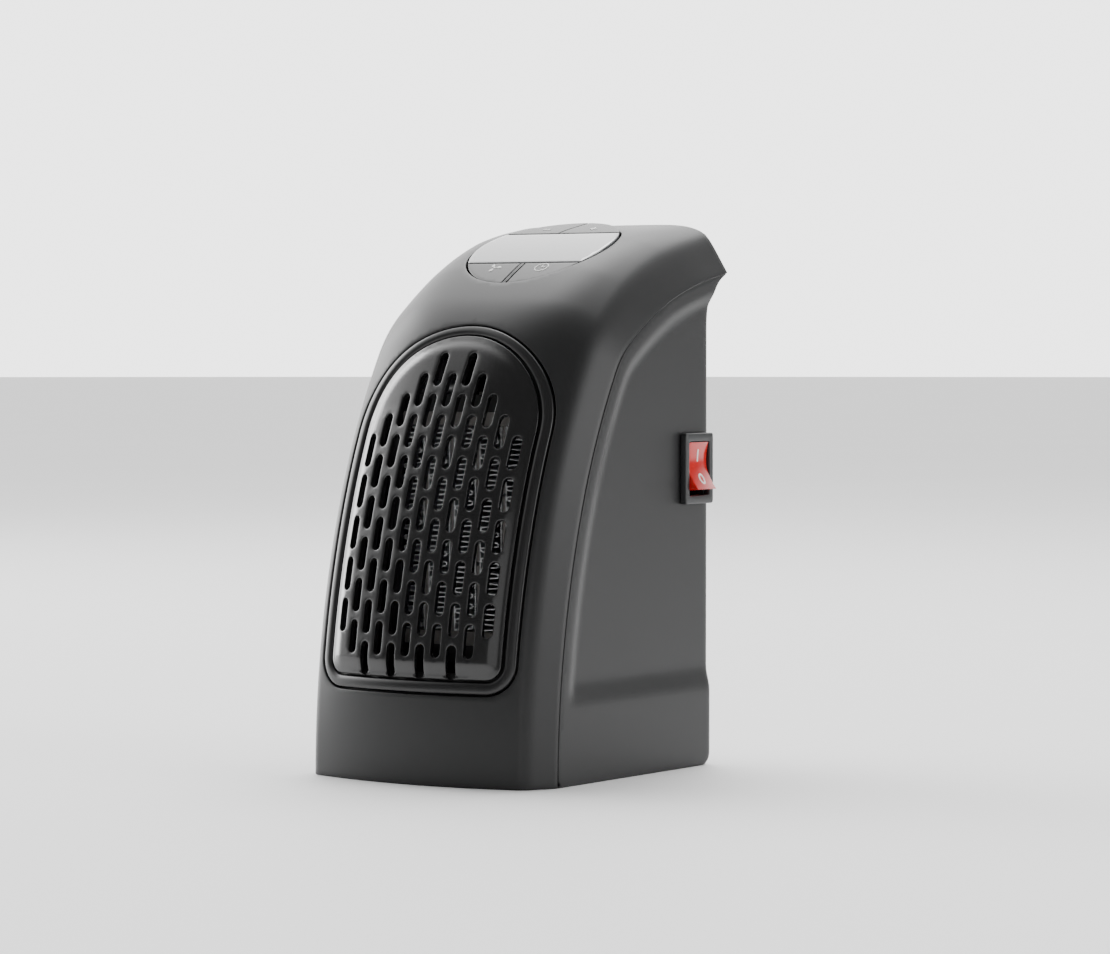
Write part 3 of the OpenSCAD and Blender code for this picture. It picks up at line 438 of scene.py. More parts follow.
class Finish:
    """A material: one shader and the nodes that feed it."""

    def __init__(self, name, **sockets):
        self.material = bpy.data.materials.new(name)
        self.material.use_nodes = True
        self.tree = self.material.node_tree
        self.shader = self.tree.nodes["Principled BSDF"]
        self.place = self.node("ShaderNodeTexCoord", out="Object")
        self.feed(**sockets)

    def node(self, kind, settings=None, sockets=None, out=0):
        made = self.tree.nodes.new(kind)
        for key, value in (settings or {}).items():
            if key == "stops":
                ramp = made.color_ramp
                for i, (place, level) in enumerate(value):
                    stop = ramp.elements[i] if i < 2 else ramp.elements.new(place)
                    stop.position, stop.color = place, (level, level, level, 1)
            else:
                setattr(made, key, value)
        for key, value in (sockets or {}).items():
            socket = made.inputs[key]
            if isinstance(value, Value):
                self.tree.links.new(value.socket, socket)
            else:
                socket.default_value = value
        return Value(self, made.outputs[out])

    def feed(self, **sockets):
        for key, value in sockets.items():
            socket = self.shader.inputs[key.replace("_", " ")]
            if isinstance(value, Value):
                self.tree.links.new(value.socket, socket)
            else:
                socket.default_value = (*value, 1) if isinstance(value, tuple) else value

    def noise(self, per_mm, detail=2, rough=0.5, stretch=(1, 1, 1)):
        where = self.node("ShaderNodeVectorMath", {"operation": "MULTIPLY"}, {0: self.place, 1: stretch})
        return self.node("ShaderNodeTexNoise", None,
            {"Vector": where, "Scale": per_mm / MM, "Detail": detail, "Roughness": rough})

    def cells(self, per_mm):
        return self.node("ShaderNodeTexVoronoi", None, {"Vector": self.place, "Scale": per_mm / MM})

    def stops(self, value, *stops):
        return self.node("ShaderNodeValToRGB", {"stops": stops}, {0: value})

    def mix(self, factor, a, b):
        first, second = [c if isinstance(c, Value) else (*c, 1) for c in (a, b)]
        return self.node("ShaderNodeMix", {"data_type": "RGBA"}, {0: factor, 6: first, 7: second}, 2)

    def bump(self, height, depth_mm, strength=1.0):
        lift = self.node("ShaderNodeBump", None,
            {"Height": height, "Distance": depth_mm * MM, "Strength": strength})
        self.feed(Normal=lift)


class Studio(Finish):
    """The light that comes from all round."""

    def __init__(self):
        world = bpy.data.worlds.new("studio")
        bpy.context.scene.world = world
        world.use_nodes = True
        self.tree = world.node_tree
        self.shader = self.tree.nodes["Background"]
        self.place = self.node("ShaderNodeTexCoord", out="Generated")


finishes = {}


def moulded(slot, colour, rough, grain=0.012, vary=0.06, coarse=3.0, **sockets):
    """Moulded plastic: spark-textured skin, with slow drifts of tone and gloss."""
    made = Finish(slot, **sockets)
    slow = made.noise(0.03, 3)
    fine = made.noise(coarse, 3, 0.6)
    tone = made.noise(0.35, 4, 0.55)
    made.feed(Base_Color=made.mix(slow * 0.5 + tone * 0.5, tuple(c * (1 - vary) for c in colour),
        tuple(c * (1 + vary) for c in colour)))
    made.feed(Roughness=slow * 0.06 + fine * 0.06 + (rough - 0.06))
    made.bump(fine * 0.6 + made.cells(coarse * 0.8) * 0.4, grain)
    finishes[slot] = made.material


def metal(slot, colour, rough, scratch=(1, 1, 1), tarnish=0.12, **sockets):
    """Bare metal with rolling marks along one direction and a little tarnish."""
    made = Finish(slot, Metallic=1.0, **sockets)
    marks = made.noise(2.2, 4, 0.6, scratch)
    spots = made.noise(0.5, 3)
    made.feed(Base_Color=made.mix(spots, colour, tuple(c * (1 - tarnish * 2) for c in colour)))
    made.feed(Roughness=marks * 0.14 + spots * tarnish + (rough - 0.07))
    made.bump(marks, 0.01)
    finishes[slot] = made.material


moulded("charcoal_plastic", (0.0165, 0.0167, 0.0172), 0.38, 0.01, 0.035, Specular_IOR_Level=0.36)
moulded("ring_plastic", (0.01, 0.01, 0.0104), 0.3, 0.006)
moulded("gloss_black_plastic", (0.008, 0.008, 0.0083), 0.22, 0.002, 0.04, 1.5,
    Coat_Weight=0.3, Coat_Roughness=0.1)
moulded("inner_black_plastic", (0.008, 0.008, 0.0085), 0.5, 0.015)
moulded("button_plastic", (0.0165, 0.0167, 0.0172), 0.34, 0.008)
moulded("display_window", (0.14, 0.144, 0.15), 0.14, 0.001, 0.03, 1.0,
    Coat_Weight=1.0, Coat_Roughness=0.05, Coat_IOR=1.9)
moulded("capacitor_yellow", (0.75, 0.5, 0.05), 0.35, 0.004)
moulded("capacitor_sleeve", (0.02, 0.03, 0.09), 0.28, 0.002)
moulded("relay_blue", (0.03, 0.1, 0.4), 0.35, 0.004)
moulded("terminal_green", (0.03, 0.28, 0.08), 0.4, 0.006)
moulded("switch_black", (0.02, 0.021, 0.022), 0.4, 0.008)
moulded("rocker_red", (0.5, 0.01, 0.008), 0.2, 0.002, 0.05, 1.0, Coat_Weight=0.4, Coat_Roughness=0.08)
moulded("white_nylon", (0.8, 0.79, 0.75), 0.4, 0.006)
moulded("plug_black", (0.03, 0.03, 0.032), 0.45, 0.012)
moulded("wire_red", (0.5, 0.02, 0.015), 0.42, 0.006)
moulded("wire_black", (0.02, 0.02, 0.022), 0.42, 0.006)
moulded("foot_rubber", (0.022, 0.022, 0.022), 0.8, 0.05, 0.1, 1.6)
moulded("heater_ceramic", (0.2, 0.19, 0.18), 0.7, 0.02, 0.05, 4)
metal("fin_aluminium", (0.85, 0.86, 0.87), 0.34, (1, 0.1, 1))
metal("screw_steel", (0.62, 0.62, 0.63), 0.32)
metal("copper_winding", (0.85, 0.4, 0.2), 0.35, (0.2, 1, 0.2))
metal("contact_brass", (0.85, 0.62, 0.3), 0.3)
metal("pin_metal", (0.8, 0.79, 0.77), 0.22, (1, 0.15, 1))
metal("magnet_iron", (0.16, 0.16, 0.17), 0.5)


def circuit(slot, resist, copper):
    """A printed board: resist over a grid of tracks, with bare pads."""
    made = Finish(slot)
    tracks = made.stops(made.node("ShaderNodeTexBrick", {"offset": 0.3, "squash": 1.4},
        {"Vector": made.place, "Scale": 1 / (14 * MM), "Color1": (1, 1, 1, 1), "Color2": (0.7, 0.7, 0.7, 1),
            "Mortar": (0, 0, 0, 1), "Mortar Size": 0.02}), (0.2, 0), (0.6, 1))
    pads = made.stops(made.cells(0.35), (0.1, 1), (0.16, 0))
    made.feed(Base_Color=made.mix(pads, made.mix(tracks, copper, resist), (0.75, 0.72, 0.65)))
    made.feed(Roughness=0.45 - pads * 0.2 + made.noise(1.2) * 0.05, Metallic=pads * 0.8)
    made.bump(tracks, 0.03)
    finishes[slot] = made.material


circuit("green_board", (0.01, 0.12, 0.035), (0.02, 0.2, 0.06))
circuit("brown_board", (0.35, 0.22, 0.07), (0.42, 0.27, 0.1))


def printed(name, colour, rough):
    """Ink for the signs: slightly uneven cover over the plastic."""
    made = Finish(name)
    cover = made.noise(2.5, 3)
    made.feed(Base_Color=made.mix(cover, colour, tuple(c * 0.82 for c in colour)))
    made.feed(Roughness=cover * 0.1 + rough)
    made.bump(cover, 0.004)
    return made.material


sign_ink = printed("sign ink", (0.9, 0.9, 0.88), 0.4)
rocker_ink = printed("rocker ink", (0.86, 0.84, 0.8), 0.35)

# the CAD nodes that stay take their finish from their slot
slot_of = {}
for part in frame["record"]["subparts"]:
    slot_of[part["node"]] = part["material_slot"]
for name, node in frame["nodes"].items():
    if not node.material_slots:
        node.data.materials.append(None)
    for held in node.material_slots:
        held.link = "OBJECT"
        held.material = finishes[slot_of[name]]


# ---- the arched opening --------------------------------------------------------
arch_w = 69.4
arch_low = 26
arch_top = arch_low + 105.4
arch_rise = 31
arch_corner = 9
crown_share = 0.7       # the ring narrows over the top of the arch
ring_gap = 0.7
ring_w = 3.3


def arch(d):
    """The opening's outline drawn in by d, always with the same number of points."""
    a, b = arch_w / 2 - d, arch_rise - crown_share * d
    spring, bottom = arch_top - arch_rise, arch_low + d
    r = max(arch_corner - d, 1)
    loop = [(a * math.cos(t), spring + b * math.sin(t)) for t in np.linspace(0, math.pi, 73)]
    loop += [(-a, z) for z in np.linspace(spring, bottom + r, 45)[1:-1]]
    loop += [(r - a + r * math.cos(t), bottom + r + r * math.sin(t))
        for t in np.linspace(math.pi, 1.5 * math.pi, 11)]
    loop += [(x, bottom) for x in np.linspace(r - a, a - r, 37)[1:-1]]
    loop += [(a - r + r * math.cos(t), bottom + r + r * math.sin(t))
        for t in np.linspace(1.5 * math.pi, 2 * math.pi, 11)]
    loop += [(a, z) for z in np.linspace(bottom + r, spring, 45)[1:-1]]
    return loop


def on_front(loop):
    """A loop in x and z as a loop in x and length along the crease."""
    return [(x, front_at_z(x, z)) for x, z in loop]


# ---- the control panel's own plane -----------------------------------------------
panel_r = 23.2
bore_gap = 0.6
band_half = 11
button_gap = 0.4
cap_t = 3
panel_bend = 140
key_x, key_y = 9.5, 15.5
clip_x = 18.5
travel = next(j for j in frame["record"]["behaviour"]["joints"] if j["name"] == "speed_press")
press = Vector(travel["axis"])
panel_up = -press
panel_back = Vector((0, math.sqrt(1 - press.y ** 2), press.y))
panel_y = y_rear - 28.4
panel_mid = front(front_at(0, lambda p: p.y - panel_y), 0)


def panel(u, v, out=0):
    """A point of the panel's bent face, out millimetres above it."""
    rise = math.sqrt(panel_bend ** 2 - v * v) - panel_bend + out
    return panel_mid + Vector((u, 0, 0)) + panel_back * v + panel_up * rise


def over_panel(u, v):
    """Where a point of the panel's plan lies on the front: x and length along the crease."""
    return u, front_at(u, lambda p: (p - panel_mid).dot(panel_back) - v, 60)


# ---- front cover ---------------------------------------------------------------
flank_len = math.hypot(crease_in, flank_w)
edge_q = crease_x + flank_len
seam_gap = 0.32


def across(q):
    """The sideways place x at the distance q along a section from the middle."""
    reach = abs(q)
    x = reach if reach < crease_x else crease_x + (reach - crease_x) * crease_in / flank_len
    return math.copysign(x, q)


def cover_point(q, s):
    return front(s, across(q))


def front_cover():
    opening = on_front(arch(0))
    bore = [over_panel(u, v) for u, v in circle(0, 0, panel_r + bore_gap, 112)]
    across_q = steps(0, crease_x - 4, 1.5) + steps(crease_x - 4, crease_x + 4, 0.7)[1:]
    across_q += steps(crease_x + 4, edge_q, 1.4)[1:]
    across_q = sorted({round(q * side, 6) for q in across_q for side in (-1, 1)})
    along_s = steps(0, hood_end, 1.5)
    outline = around(rectangle(-edge_q, 0, edge_q, hood_end), 1.5)
    shell = plate(outline, [opening, bore], grid_of(across_q, along_s), cover_point, wall)
    # the lid that closes the hood's rear end, inside its rim
    inner = crease_x - wall
    y, z, ny, nz, height, square, flank = crease(hood_end - 0.25)
    curve = [(x, height * (1 - (abs(x) / inner) ** square) - wall - 0.1) for x in steps(-inner, inner, 2)]
    low = 0.1 - flank
    lid = [(half_w - wall - 0.2, low), *curve[::-1], (wall + 0.2 - half_w, low)]

    def lid_point(u, v, out=0):
        back = Vector((0, nz, -ny)) if nz > 0 else Vector((0, 1, 0))
        return Vector((u, y + ny * v, z + nz * v)) + back * out
    # the boss that each upper housing screw bites into
    boss = rounded([(1.1, 0), (3.4, 0), (3.4, 18.7), (1.1, 18.7)], 0.3)
    bosses = [turned(boss, (side * screw_x, y_mid - 19, screw_z), (0, 1, 0), 32, tube=True)
        for side in (-1, 1)]
    return piece("front_cover_shell", "body", finishes["charcoal_plastic"],
        [shell, slab(around(lid, 2), 1.8, lambda u, v, w: lid_point(u, v, -w), 0.3), *bosses],
        ["front_cover"])


# ---- rear housing ---------------------------------------------------------------
recess_d = 1.2
lip_y, lip_z = seam[-1]
flare_z = lip_z - 12
lip_depth = lip_y - y_rear
base_round = 4
side_r = 3.0            # plan radius of the rear corners, smaller at the lip
flat_half = half_w - side_r
turn_len = side_r * math.pi / 2
screw_x = half_w - 10.5
screw_z = 124 * kz


def rear_at(z):
    """How far the rear wall stands at height z."""
    f = min(max((z - flare_z) / 11, 0), 1.1)
    flare = 1 - math.sqrt(1 - min(f, 0.985) ** 2) + max(f - 0.985, 0) * 1.6
    under = base_round - math.sqrt(base_round ** 2 - (base_round - min(max(z, 0), base_round)) ** 2)
    return y_rear + lip_depth * min(flare, 1) - under


def corner_r(z):
    return side_r - (side_r - 0.8) * smooth((z - flare_z + 4) / 14)


seam_array = np.array(seam)


def recess(y, z):
    """Depth of the pressed side panel: it follows the seam and runs out at the rear."""
    if z < 20:
        return 0
    off = float(np.min(np.hypot(seam_array[:, 0] - y, seam_array[:, 1] - z)))
    return recess_d * smooth((off - 4) / 4.2) * smooth((z - 22.5) / 7)


def housing_point(w, z):
    """A point of the housing at the distance w round its plan from the middle of the rear."""
    back, r, reach = rear_at(z), corner_r(z), abs(w)
    e = reach - flat_half - turn_len
    if e >= 0:
        x, y = half_w - recess(back - r - e, z), back - r - e
    else:
        edge = half_w - recess(back - r, z)
        a = max(reach - flat_half, 0) / turn_len * math.pi / 2
        x = edge - r + r * math.sin(a) if reach > flat_half else reach / flat_half * (edge - r)
        y = back - r + r * math.cos(a)
    return Vector((math.copysign(x, w), y, z))


def rear_w(x, z):
    """The place round the plan of a point x on the flat rear wall."""
    r = corner_r(z)
    return x * flat_half / (half_w - recess(rear_at(z) - r, z) - r)


def side_w(y, z):
    return flat_half + turn_len + rear_at(z) - corner_r(z) - y


def stadium(cu, cv, width, height, turns=8):
    """An upright or level slot with round ends."""
    r = min(width, height) / 2
    du, dv = (0, height / 2 - r) if height > width else (width / 2 - r, 0)
    first = 0 if height > width else -math.pi / 2
    loop = []
    for side, start in ((1, first), (-1, first + math.pi)):
        loop += [(cu + side * du + r * math.cos(start + math.pi * i / turns),
            cv + side * dv + r * math.sin(start + math.pi * i / turns)) for i in range(turns + 1)]
    return loop


vent_half = 26
vent_h = 2.4
vents = [z * kz + vent_h / 2 for z in range(102, 135, 5)]
plug_joint = next(j for j in frame["record"]["behaviour"]["joints"] if j["name"] == "plug_turn")
plug_z = plug_joint["pos_m"][2] / MM
pin_x = 9.5
switch_joint = next(j for j in frame["record"]["behaviour"]["joints"] if j["name"] == "rocker_tip")
pivot_x, switch_y, switch_z = (c / MM for c in switch_joint["pos_m"])
bezel_w, bezel_h, bezel_t = 15, 21, 2.3
bezel_in = half_w - recess_d
table_r, nose_r, nose_l, hole_r = 22, 18, 16, 19
clear = 0.3


def rear_housing():
    top = lip_z - 0.25
    seam_off = [(y + seam_gap, z) for y, z in seam if z < top - 0.3]
    side = []
    for y, z in seam_off:
        if z >= 0 and side_w(y, z) > flat_half + turn_len + 0.4:
            side.append((side_w(y, z), z))
    side[0] = (side[0][0], 0)
    end = flat_half + turn_len
    mirrored = [(-w, z) for w, z in side[::-1]]
    outline = around([*side, (end, top), (-end, top), *mirrored], 1.5)
    holes = [[(rear_w(x, z), z) for x, z in around(stadium(0, z0, 2 * vent_half, vent_h), 2)] for z0 in vents]
    holes += [[(rear_w(x, z), z) for x, z in circle(0, plug_z, hole_r, 88)]]
    holes += [[(rear_w(x, z), z) for x, z in circle(s * screw_x, screw_z, 3, 28)] for s in (-1, 1)]
    socket = rounded(rectangle(switch_y - 6.5, switch_z - 9.5, switch_y + 6.5, switch_z + 9.5), 0.8, 3)
    holes += [[(side_w(y, z), z) for y, z in around(socket, 1.5)]]
    around_w = steps(0, flat_half, 1.6) + steps(flat_half, flat_half + turn_len, 0.6)[1:]
    around_w += steps(flat_half + turn_len, flat_half + turn_len + 90, 1.6)[1:]
    around_w = sorted({round(w * s, 6) for w in around_w for s in (-1, 1)})
    levels = [0.35, 0.8, 1.4, 2.2, 3.2] + steps(4.4, flare_z, 1.6) + steps(flare_z, top - 0.7, 0.9)[1:]
    shell = plate(outline, holes, grid_of(around_w, levels), housing_point, wall, 0.35, pitch=1.3, turn=-1)
    # floor, with the foot of the cover standing round its front
    front_edge = []
    for x in steps(-crease_x + 1, crease_x - 1, 2):
        front_edge.append((x, front(0, x).y + wall + seam_gap))
    back = y_rear - base_round - 0.4
    rim = half_w - wall - 0.1
    floor = [*front_edge, (rim, y_seam + 2), (rim, back), (-rim, back), (-rim, y_seam + 2)]
    foot_holes = [circle(s * (half_w - 15), foot_boss_y, 2.45, 24) for s in (-1, 1)]
    foot_holes += [circle(s * foot_x, y, 4.1, 32) for s in (-1, 1) for y in foot_ys]
    base = slab(around(floor, 3), wall - 0.1, lambda u, v, w: Vector((u, v, 0.05 + w)), 0.1, foot_holes)
    bosses = [turned(rounded([(3, -0.3), (3.9, -0.3), (3.9, -34.5), (1.7, -34.5), (1.7, -6), (3, -6)], 0.25),
        (s * screw_x, y_rear - 0.4, screw_z), (0, 1, 0), 32, tube=True) for s in (-1, 1)]
    posts = [turned(rounded([(1.1, 0), (2.6, 0), (2.6, 5), (1.1, 5)], 0.25),
        (26 * math.cos(a), y_rear - wall - 5, plug_z + 26 * math.sin(a)), (0, 1, 0), 24, tube=True)
        for a in (math.pi / 4 + k * math.pi / 2 for k in range(4))]
    return piece("rear_housing_shell", "body", finishes["charcoal_plastic"],
        [shell, base, *bosses, *posts], ["rear_housing"])


foot_boss_y = y_seam + foot_t * ky + wall + 0.7
foot_x = half_w - 9
foot_ys = [y_seam + 7, y_rear - 10]


# ---- trim ring and grille ---------------------------------------------------------
def grille_ring():
    inner = ring_gap + ring_w
    profile = rounded([(-1.6, -3.4), (-1.6, -2.5), (ring_gap, -2.5), (ring_gap, 0.1), (ring_gap + 0.9, 0.3),
        (inner - 1.1, 0.25), (inner, -0.3), (inner, -2.2), (inner + 2.6, -2.2), (inner + 2.6, -3.4)], 0.45, 3)
    vertices, faces, rows = [], [], []
    for d, out in profile:
        rows.append(len(vertices))
        for x, z in arch(d):
            vertices.append(front(front_at_z(x, z), x, out))
    n = len(arch(1))
    for a, b in zip(rows, rows[1:] + rows[:1]):
        for i in range(n):
            j = (i + 1) % n
            faces.append((a + i, a + j, b + j, b + i))
    return piece("grille_trim_ring", "body", finishes["ring_plastic"], [(vertices, faces)],
        ["grille_ring"])


grille_t = 1.8
grille_proud = 1.0
slot_w, slot_h, slot_dx, slot_dz = 3, 9.6, 5.1, 5.9
slot_top = arch_top - 13.4
slot_reach = [1, 2, 3, 4, 5, 4, 5, 4, 5, 4, 5, 4, 5, 4, 3]


def front_grille():
    outline = on_front(arch(2 * ring_gap + ring_w))
    slots = []
    for k, reach in enumerate(slot_reach):
        for c in range(-reach, reach + 1, 2):
            slot = stadium(c * slot_dx, slot_top - k * slot_dz, slot_w, slot_h, 8)
            slots.append(on_front(around(slot, 1.7)))

    def lift(flat, edge):
        """The slotted field stands a little above the margin, with a soft edge."""
        f = np.clip((distance(flat, edge) - 0.8) / 3.6, 0, 1)
        return grille_proud - 0.9 + 0.9 * f * f * (3 - 2 * f)

    xs = steps(-arch_w / 2, arch_w / 2, 1.1)
    low, high = front_at_z(0, arch_low), front_at_z(0, arch_top + 2)
    shape = plate(outline, slots, grid_of(xs, steps(low, high, 1.1)),
        lambda x, s: front(s, x), grille_t - grille_proud,
        0.28, lift, 0.9)
    return piece("slotted_grille", "body", finishes["gloss_black_plastic"], [shape],
        ["front_grille"])


# ---- control panel pieces -----------------------------------------------------------
def panel_stem(u, v):
    return turned(rounded([(0, -10), (2, -10), (2, -2.6), (0, -2.6)], 0.3, 3, False),
        panel_mid + Vector((u, 0, 0)) + panel_back * v, panel_up, 24)


def split(v):
    """The line between the two rear buttons: a gentle double bend."""
    return 3.4 * (smooth((v - band_half) / (panel_r - band_half)) - 0.5)


def cap_outline(side, rear):
    r = panel_r
    low = band_half + button_gap
    if rear:
        inner = [(split(v) + side * button_gap / 2, v) for v in steps(low, r, 1.0)]
        inner = [p for p in inner if math.hypot(*p) < r - 0.2]
    else:
        gap = 0.6 + 0.35
        inner = [(side * gap, -v) for v in steps(low, r, 1.0) if math.hypot(gap, v) < r - 0.2]
    start, stop = inner[-1], (side * math.sqrt(r * r - low * low), low if rear else -low)
    a0, a1 = math.atan2(start[1], start[0]), math.atan2(stop[1], stop[0])
    if a1 - a0 > math.pi:
        a1 -= math.tau
    if a0 - a1 > math.pi:
        a1 += math.tau
    arc = [(r * math.cos(a), r * math.sin(a)) for a in np.linspace(a0, a1, 22)]
    across_low = [(x, stop[1]) for x in steps(stop[0], inner[0][0], 1.2)[1:-1]]
    return [*inner, *arc, *across_low]


def button(name, body, side, rear, node):
    grid = grid_of(steps(-panel_r, panel_r, 1.2), steps(-panel_r, panel_r, 1.2))
    cap = plate(cap_outline(side, rear), [], grid, panel, cap_t, 0.35, pitch=1.0)
    return piece(name, body, finishes["button_plastic"],
        [cap, panel_stem(side * key_x, key_y if rear else -key_y)], [node])


def sign(name, body, loops, holes=(), finish=None, place=panel):
    """Printed marks: thin plates just above the surface."""
    shapes = [slab(loop, 0.09, lambda u, v, w: place(u, v, 0.1 - w), 0.02, hole)
        for loop, hole in zip(loops, holes or [()] * len(loops))]
    return piece(name, body, finish or sign_ink, shapes)


def panel_pieces():
    edge = band_half - 0.15
    a = math.atan2(edge, math.sqrt(panel_r ** 2 - edge ** 2))
    right = [(panel_r * math.cos(t), panel_r * math.sin(t)) for t in np.linspace(-a, a, 22)]
    left = [(-x, -y) for x, y in right]
    window = around([*right, *left], 1.2)
    grid = grid_of(steps(-panel_r, panel_r, 1.2), steps(-band_half, band_half, 1.2))
    clip = [(0, -7), (1.5, -7), (1.5, -2.5), (0, -2.5)]
    clips = [turned(clip, panel_mid + Vector((s * clip_x, 0, 0)), panel_up, 20) for s in (-1, 1)]
    piece("display_band", "body", finishes["display_window"],
        [plate(window, [], grid, panel, cap_t, 0.3, pitch=1.0), *clips], ["display_window"])
    button("speed_key_cap", "speed_key", -1, False, "speed_button")
    button("timer_key_cap", "timer_key", 1, False, "timer_button")
    button("warmer_key_cap", "warmer_key", 1, True, "warmer_button")
    button("cooler_key_cap", "cooler_key", -1, True, "cooler_button")
    # a fan wheel, a clock, and plus and minus signs
    blades = []
    for k in range(3):
        turn = math.tau * k / 3
        petal = [(0.5 + 1.9 * f, 0.95 * math.sin(math.pi * f) ** 0.8) for f in steps(0, 1, 0.12)]
        petal += [(0.5 + 1.9 * f, -0.12 * math.sin(math.pi * f)) for f in steps(1, 0, 0.2)[1:-1]]
        blades.append([(-8.5 + x * math.cos(turn) - y * math.sin(turn),
            -14.3 + x * math.sin(turn) + y * math.cos(turn)) for x, y in petal])
    sign("fan_sign", "speed_key", [*blades, circle(-8.5, -14.3, 0.4, 16)])
    hands = [rectangle(8.3, -14.4, 8.7, -12.9), rectangle(8.75, -14.4, 9.6, -14.05)]
    sign("clock_sign", "timer_key", [circle(8.5, -14.3, 2.3, 40), *hands],
        [[circle(8.5, -14.3, 1.95, 40)], (), ()])
    plus = [(8.2, 14.2), (8.8, 14.2), (8.8, 15.2), (9.8, 15.2), (9.8, 15.8), (8.8, 15.8),
        (8.8, 16.8), (8.2, 16.8), (8.2, 15.8), (7.2, 15.8), (7.2, 15.2), (8.2, 15.2)]
    sign("plus_sign", "warmer_key", [plus])
    sign("minus_sign", "cooler_key", [rectangle(-9.8, 15.2, -7.2, 15.8)])


# ---- rocker switch -------------------------------------------------------------------
well_w, well_h = bezel_w - 4, bezel_h - 5
rocker_half = well_h / 2 - 0.9
rocker_wide = well_w - 0.6
rocker_tilt = math.radians(switch_joint["range_deg"][1] / 2)


def rocker_face(z):
    return 1.8 + 2.1 * (abs(z) / rocker_half) ** 1.7


def at_rocker(x, y, z):
    a = -rocker_tilt
    return Vector((pivot_x + x * math.cos(a) + z * math.sin(a), switch_y + y,
        switch_z - x * math.sin(a) + z * math.cos(a)))


def switch_pieces():
    frame_loop = around(rounded(rectangle(-bezel_w / 2, -bezel_h / 2, bezel_w / 2, bezel_h / 2), 0.9, 4), 2)
    window = around(rounded(rectangle(-well_w / 2, -well_h / 2, well_w / 2, well_h / 2), 0.6, 3), 2)
    low = bezel_in - 16

    def at_bezel(u, v, w):
        return Vector((bezel_in + bezel_t - w, switch_y + u, switch_z + v))
    bezel = slab(frame_loop, bezel_t - 0.02, at_bezel, 0.45, [window])
    box_loop = around(rounded(rectangle(-6.4, -9.4, 6.4, 9.4), 0.5, 3), 3)
    box_well = around(rounded(rectangle(-well_w / 2, -well_h / 2, well_w / 2, well_h / 2), 0.4, 3), 3)
    sides = slab(box_loop, 14.4, lambda u, v, w: at_bezel(u, v, bezel_t + w), 0.15, [box_well])
    back = slab(box_loop, 1.5, lambda u, v, w: Vector((low + 1.5 - w, switch_y + u, switch_z + v)), 0.15)
    piece("switch_housing", "body", finishes["switch_black"], [bezel, sides, back],
        ["switch_body"])
    face = [(rocker_face(z), z) for z in np.linspace(-rocker_half, rocker_half, 25)]
    heel = rocker_half - 0.8
    body = [*face, (-2.5, heel), (-2.5, 3), (-5.6, 2), (-5.6, -2), (-2.5, -3), (-2.5, -heel)]
    paddle = slab(body, rocker_wide,
        lambda u, v, w: at_rocker(u, w - rocker_wide / 2, v), 0.4)
    trunnion = turned(rounded([(0, -6.1), (1.2, -6.1), (1.2, 6.1), (0, 6.1)], 0.2, 2, False),
        at_rocker(0, 0, 0), (0, 1, 0), 24)
    piece("rocker_paddle", "rocker_body", finishes["rocker_red"], [paddle, trunnion],
        ["rocker"])

    def on_face(u, v, out):
        slope = (rocker_face(v + 0.05) - rocker_face(v - 0.05)) / 0.1
        x, z = rocker_face(v) + out, v - out * slope
        return at_rocker(x, u, z)
    bar = around(rounded(rectangle(-0.32, 1.6, 0.32, 5.2), 0.3, 3), 0.5)
    turns = np.linspace(0, math.tau, 40, endpoint=False)
    ring = [(1.35 * math.cos(t), -3.7 + 1.75 * math.sin(t)) for t in turns]
    hole = [(0.7 * math.cos(t), -3.7 + 1.1 * math.sin(t)) for t in turns]
    sign("rocker_signs", "rocker_body", [bar, ring], [(), [hole]], rocker_ink, on_face)


# ---- heating block ----------------------------------------------------------------------
def heater_fins():
    """Thin folded sheets, one column between each pair of stone strips."""
    low, high = corner("heater_fins", 0), corner("heater_fins", 1)
    columns, folds, sheet = 5, 40, 0.32
    strip = 2.2
    width = (high.x - low.x - (columns - 1) * strip) / columns
    rise = (high.z - low.z) / folds
    shapes = []
    for k in range(columns):
        x0 = low.x + k * (width + strip)
        centre = []
        for i in range(folds):
            z = low.z + (i + 0.5) * rise
            inner = [x0 + 0.45, x0 + width - 0.45]
            if i % 2:
                inner.reverse()
            lean = 0.16 * rise
            centre += [(inner[0], z - lean), (inner[1], z + lean)]
        line = rounded(centre, rise * 0.42, 4, False)
        left, right = [], []
        for i, p in enumerate(line):
            a, b = Vector(line[max(i - 1, 0)]), Vector(line[min(i + 1, len(line) - 1)])
            t = (b - a).normalized()
            n = Vector((-t.y, t.x)) * sheet / 2
            left.append(Vector(p) + n)
            right.append(Vector(p) - n)
        section_loop = left + right[::-1]
        vertices = [Vector((p.x, y, p.y)) for y in (low.y, high.y) for p in section_loop]
        n, m = len(left), len(section_loop)
        faces = [(i, (i + 1) % m, m + (i + 1) % m, m + i) for i in range(m)]
        for base, turn in ((0, -1), (m, 1)):
            faces += [tuple([base + i, base + i + 1, base + m - 2 - i, base + m - 1 - i][::turn])
                for i in range(n - 1)]
        shapes.append((vertices, faces))
    piece("folded_fins", "body", finishes["fin_aluminium"], shapes, ["heater_fins"])


# ---- plug on the back --------------------------------------------------------------------
def nose_shape(r, h, a):
    """The nose's radius by angle, drawn in at the two finger hollows."""
    if r > nose_r + 0.5 or h < clear + 1.6:
        return r
    off = abs(math.cos(a - math.pi / 2))
    tilt = math.acos(min(off, 1))
    reach = 20
    inside_root = 25 - (reach * math.sin(tilt)) ** 2
    if inside_root <= 0:
        return r
    return min(r, max(reach * math.cos(tilt) - math.sqrt(inside_root), r * 0.72))


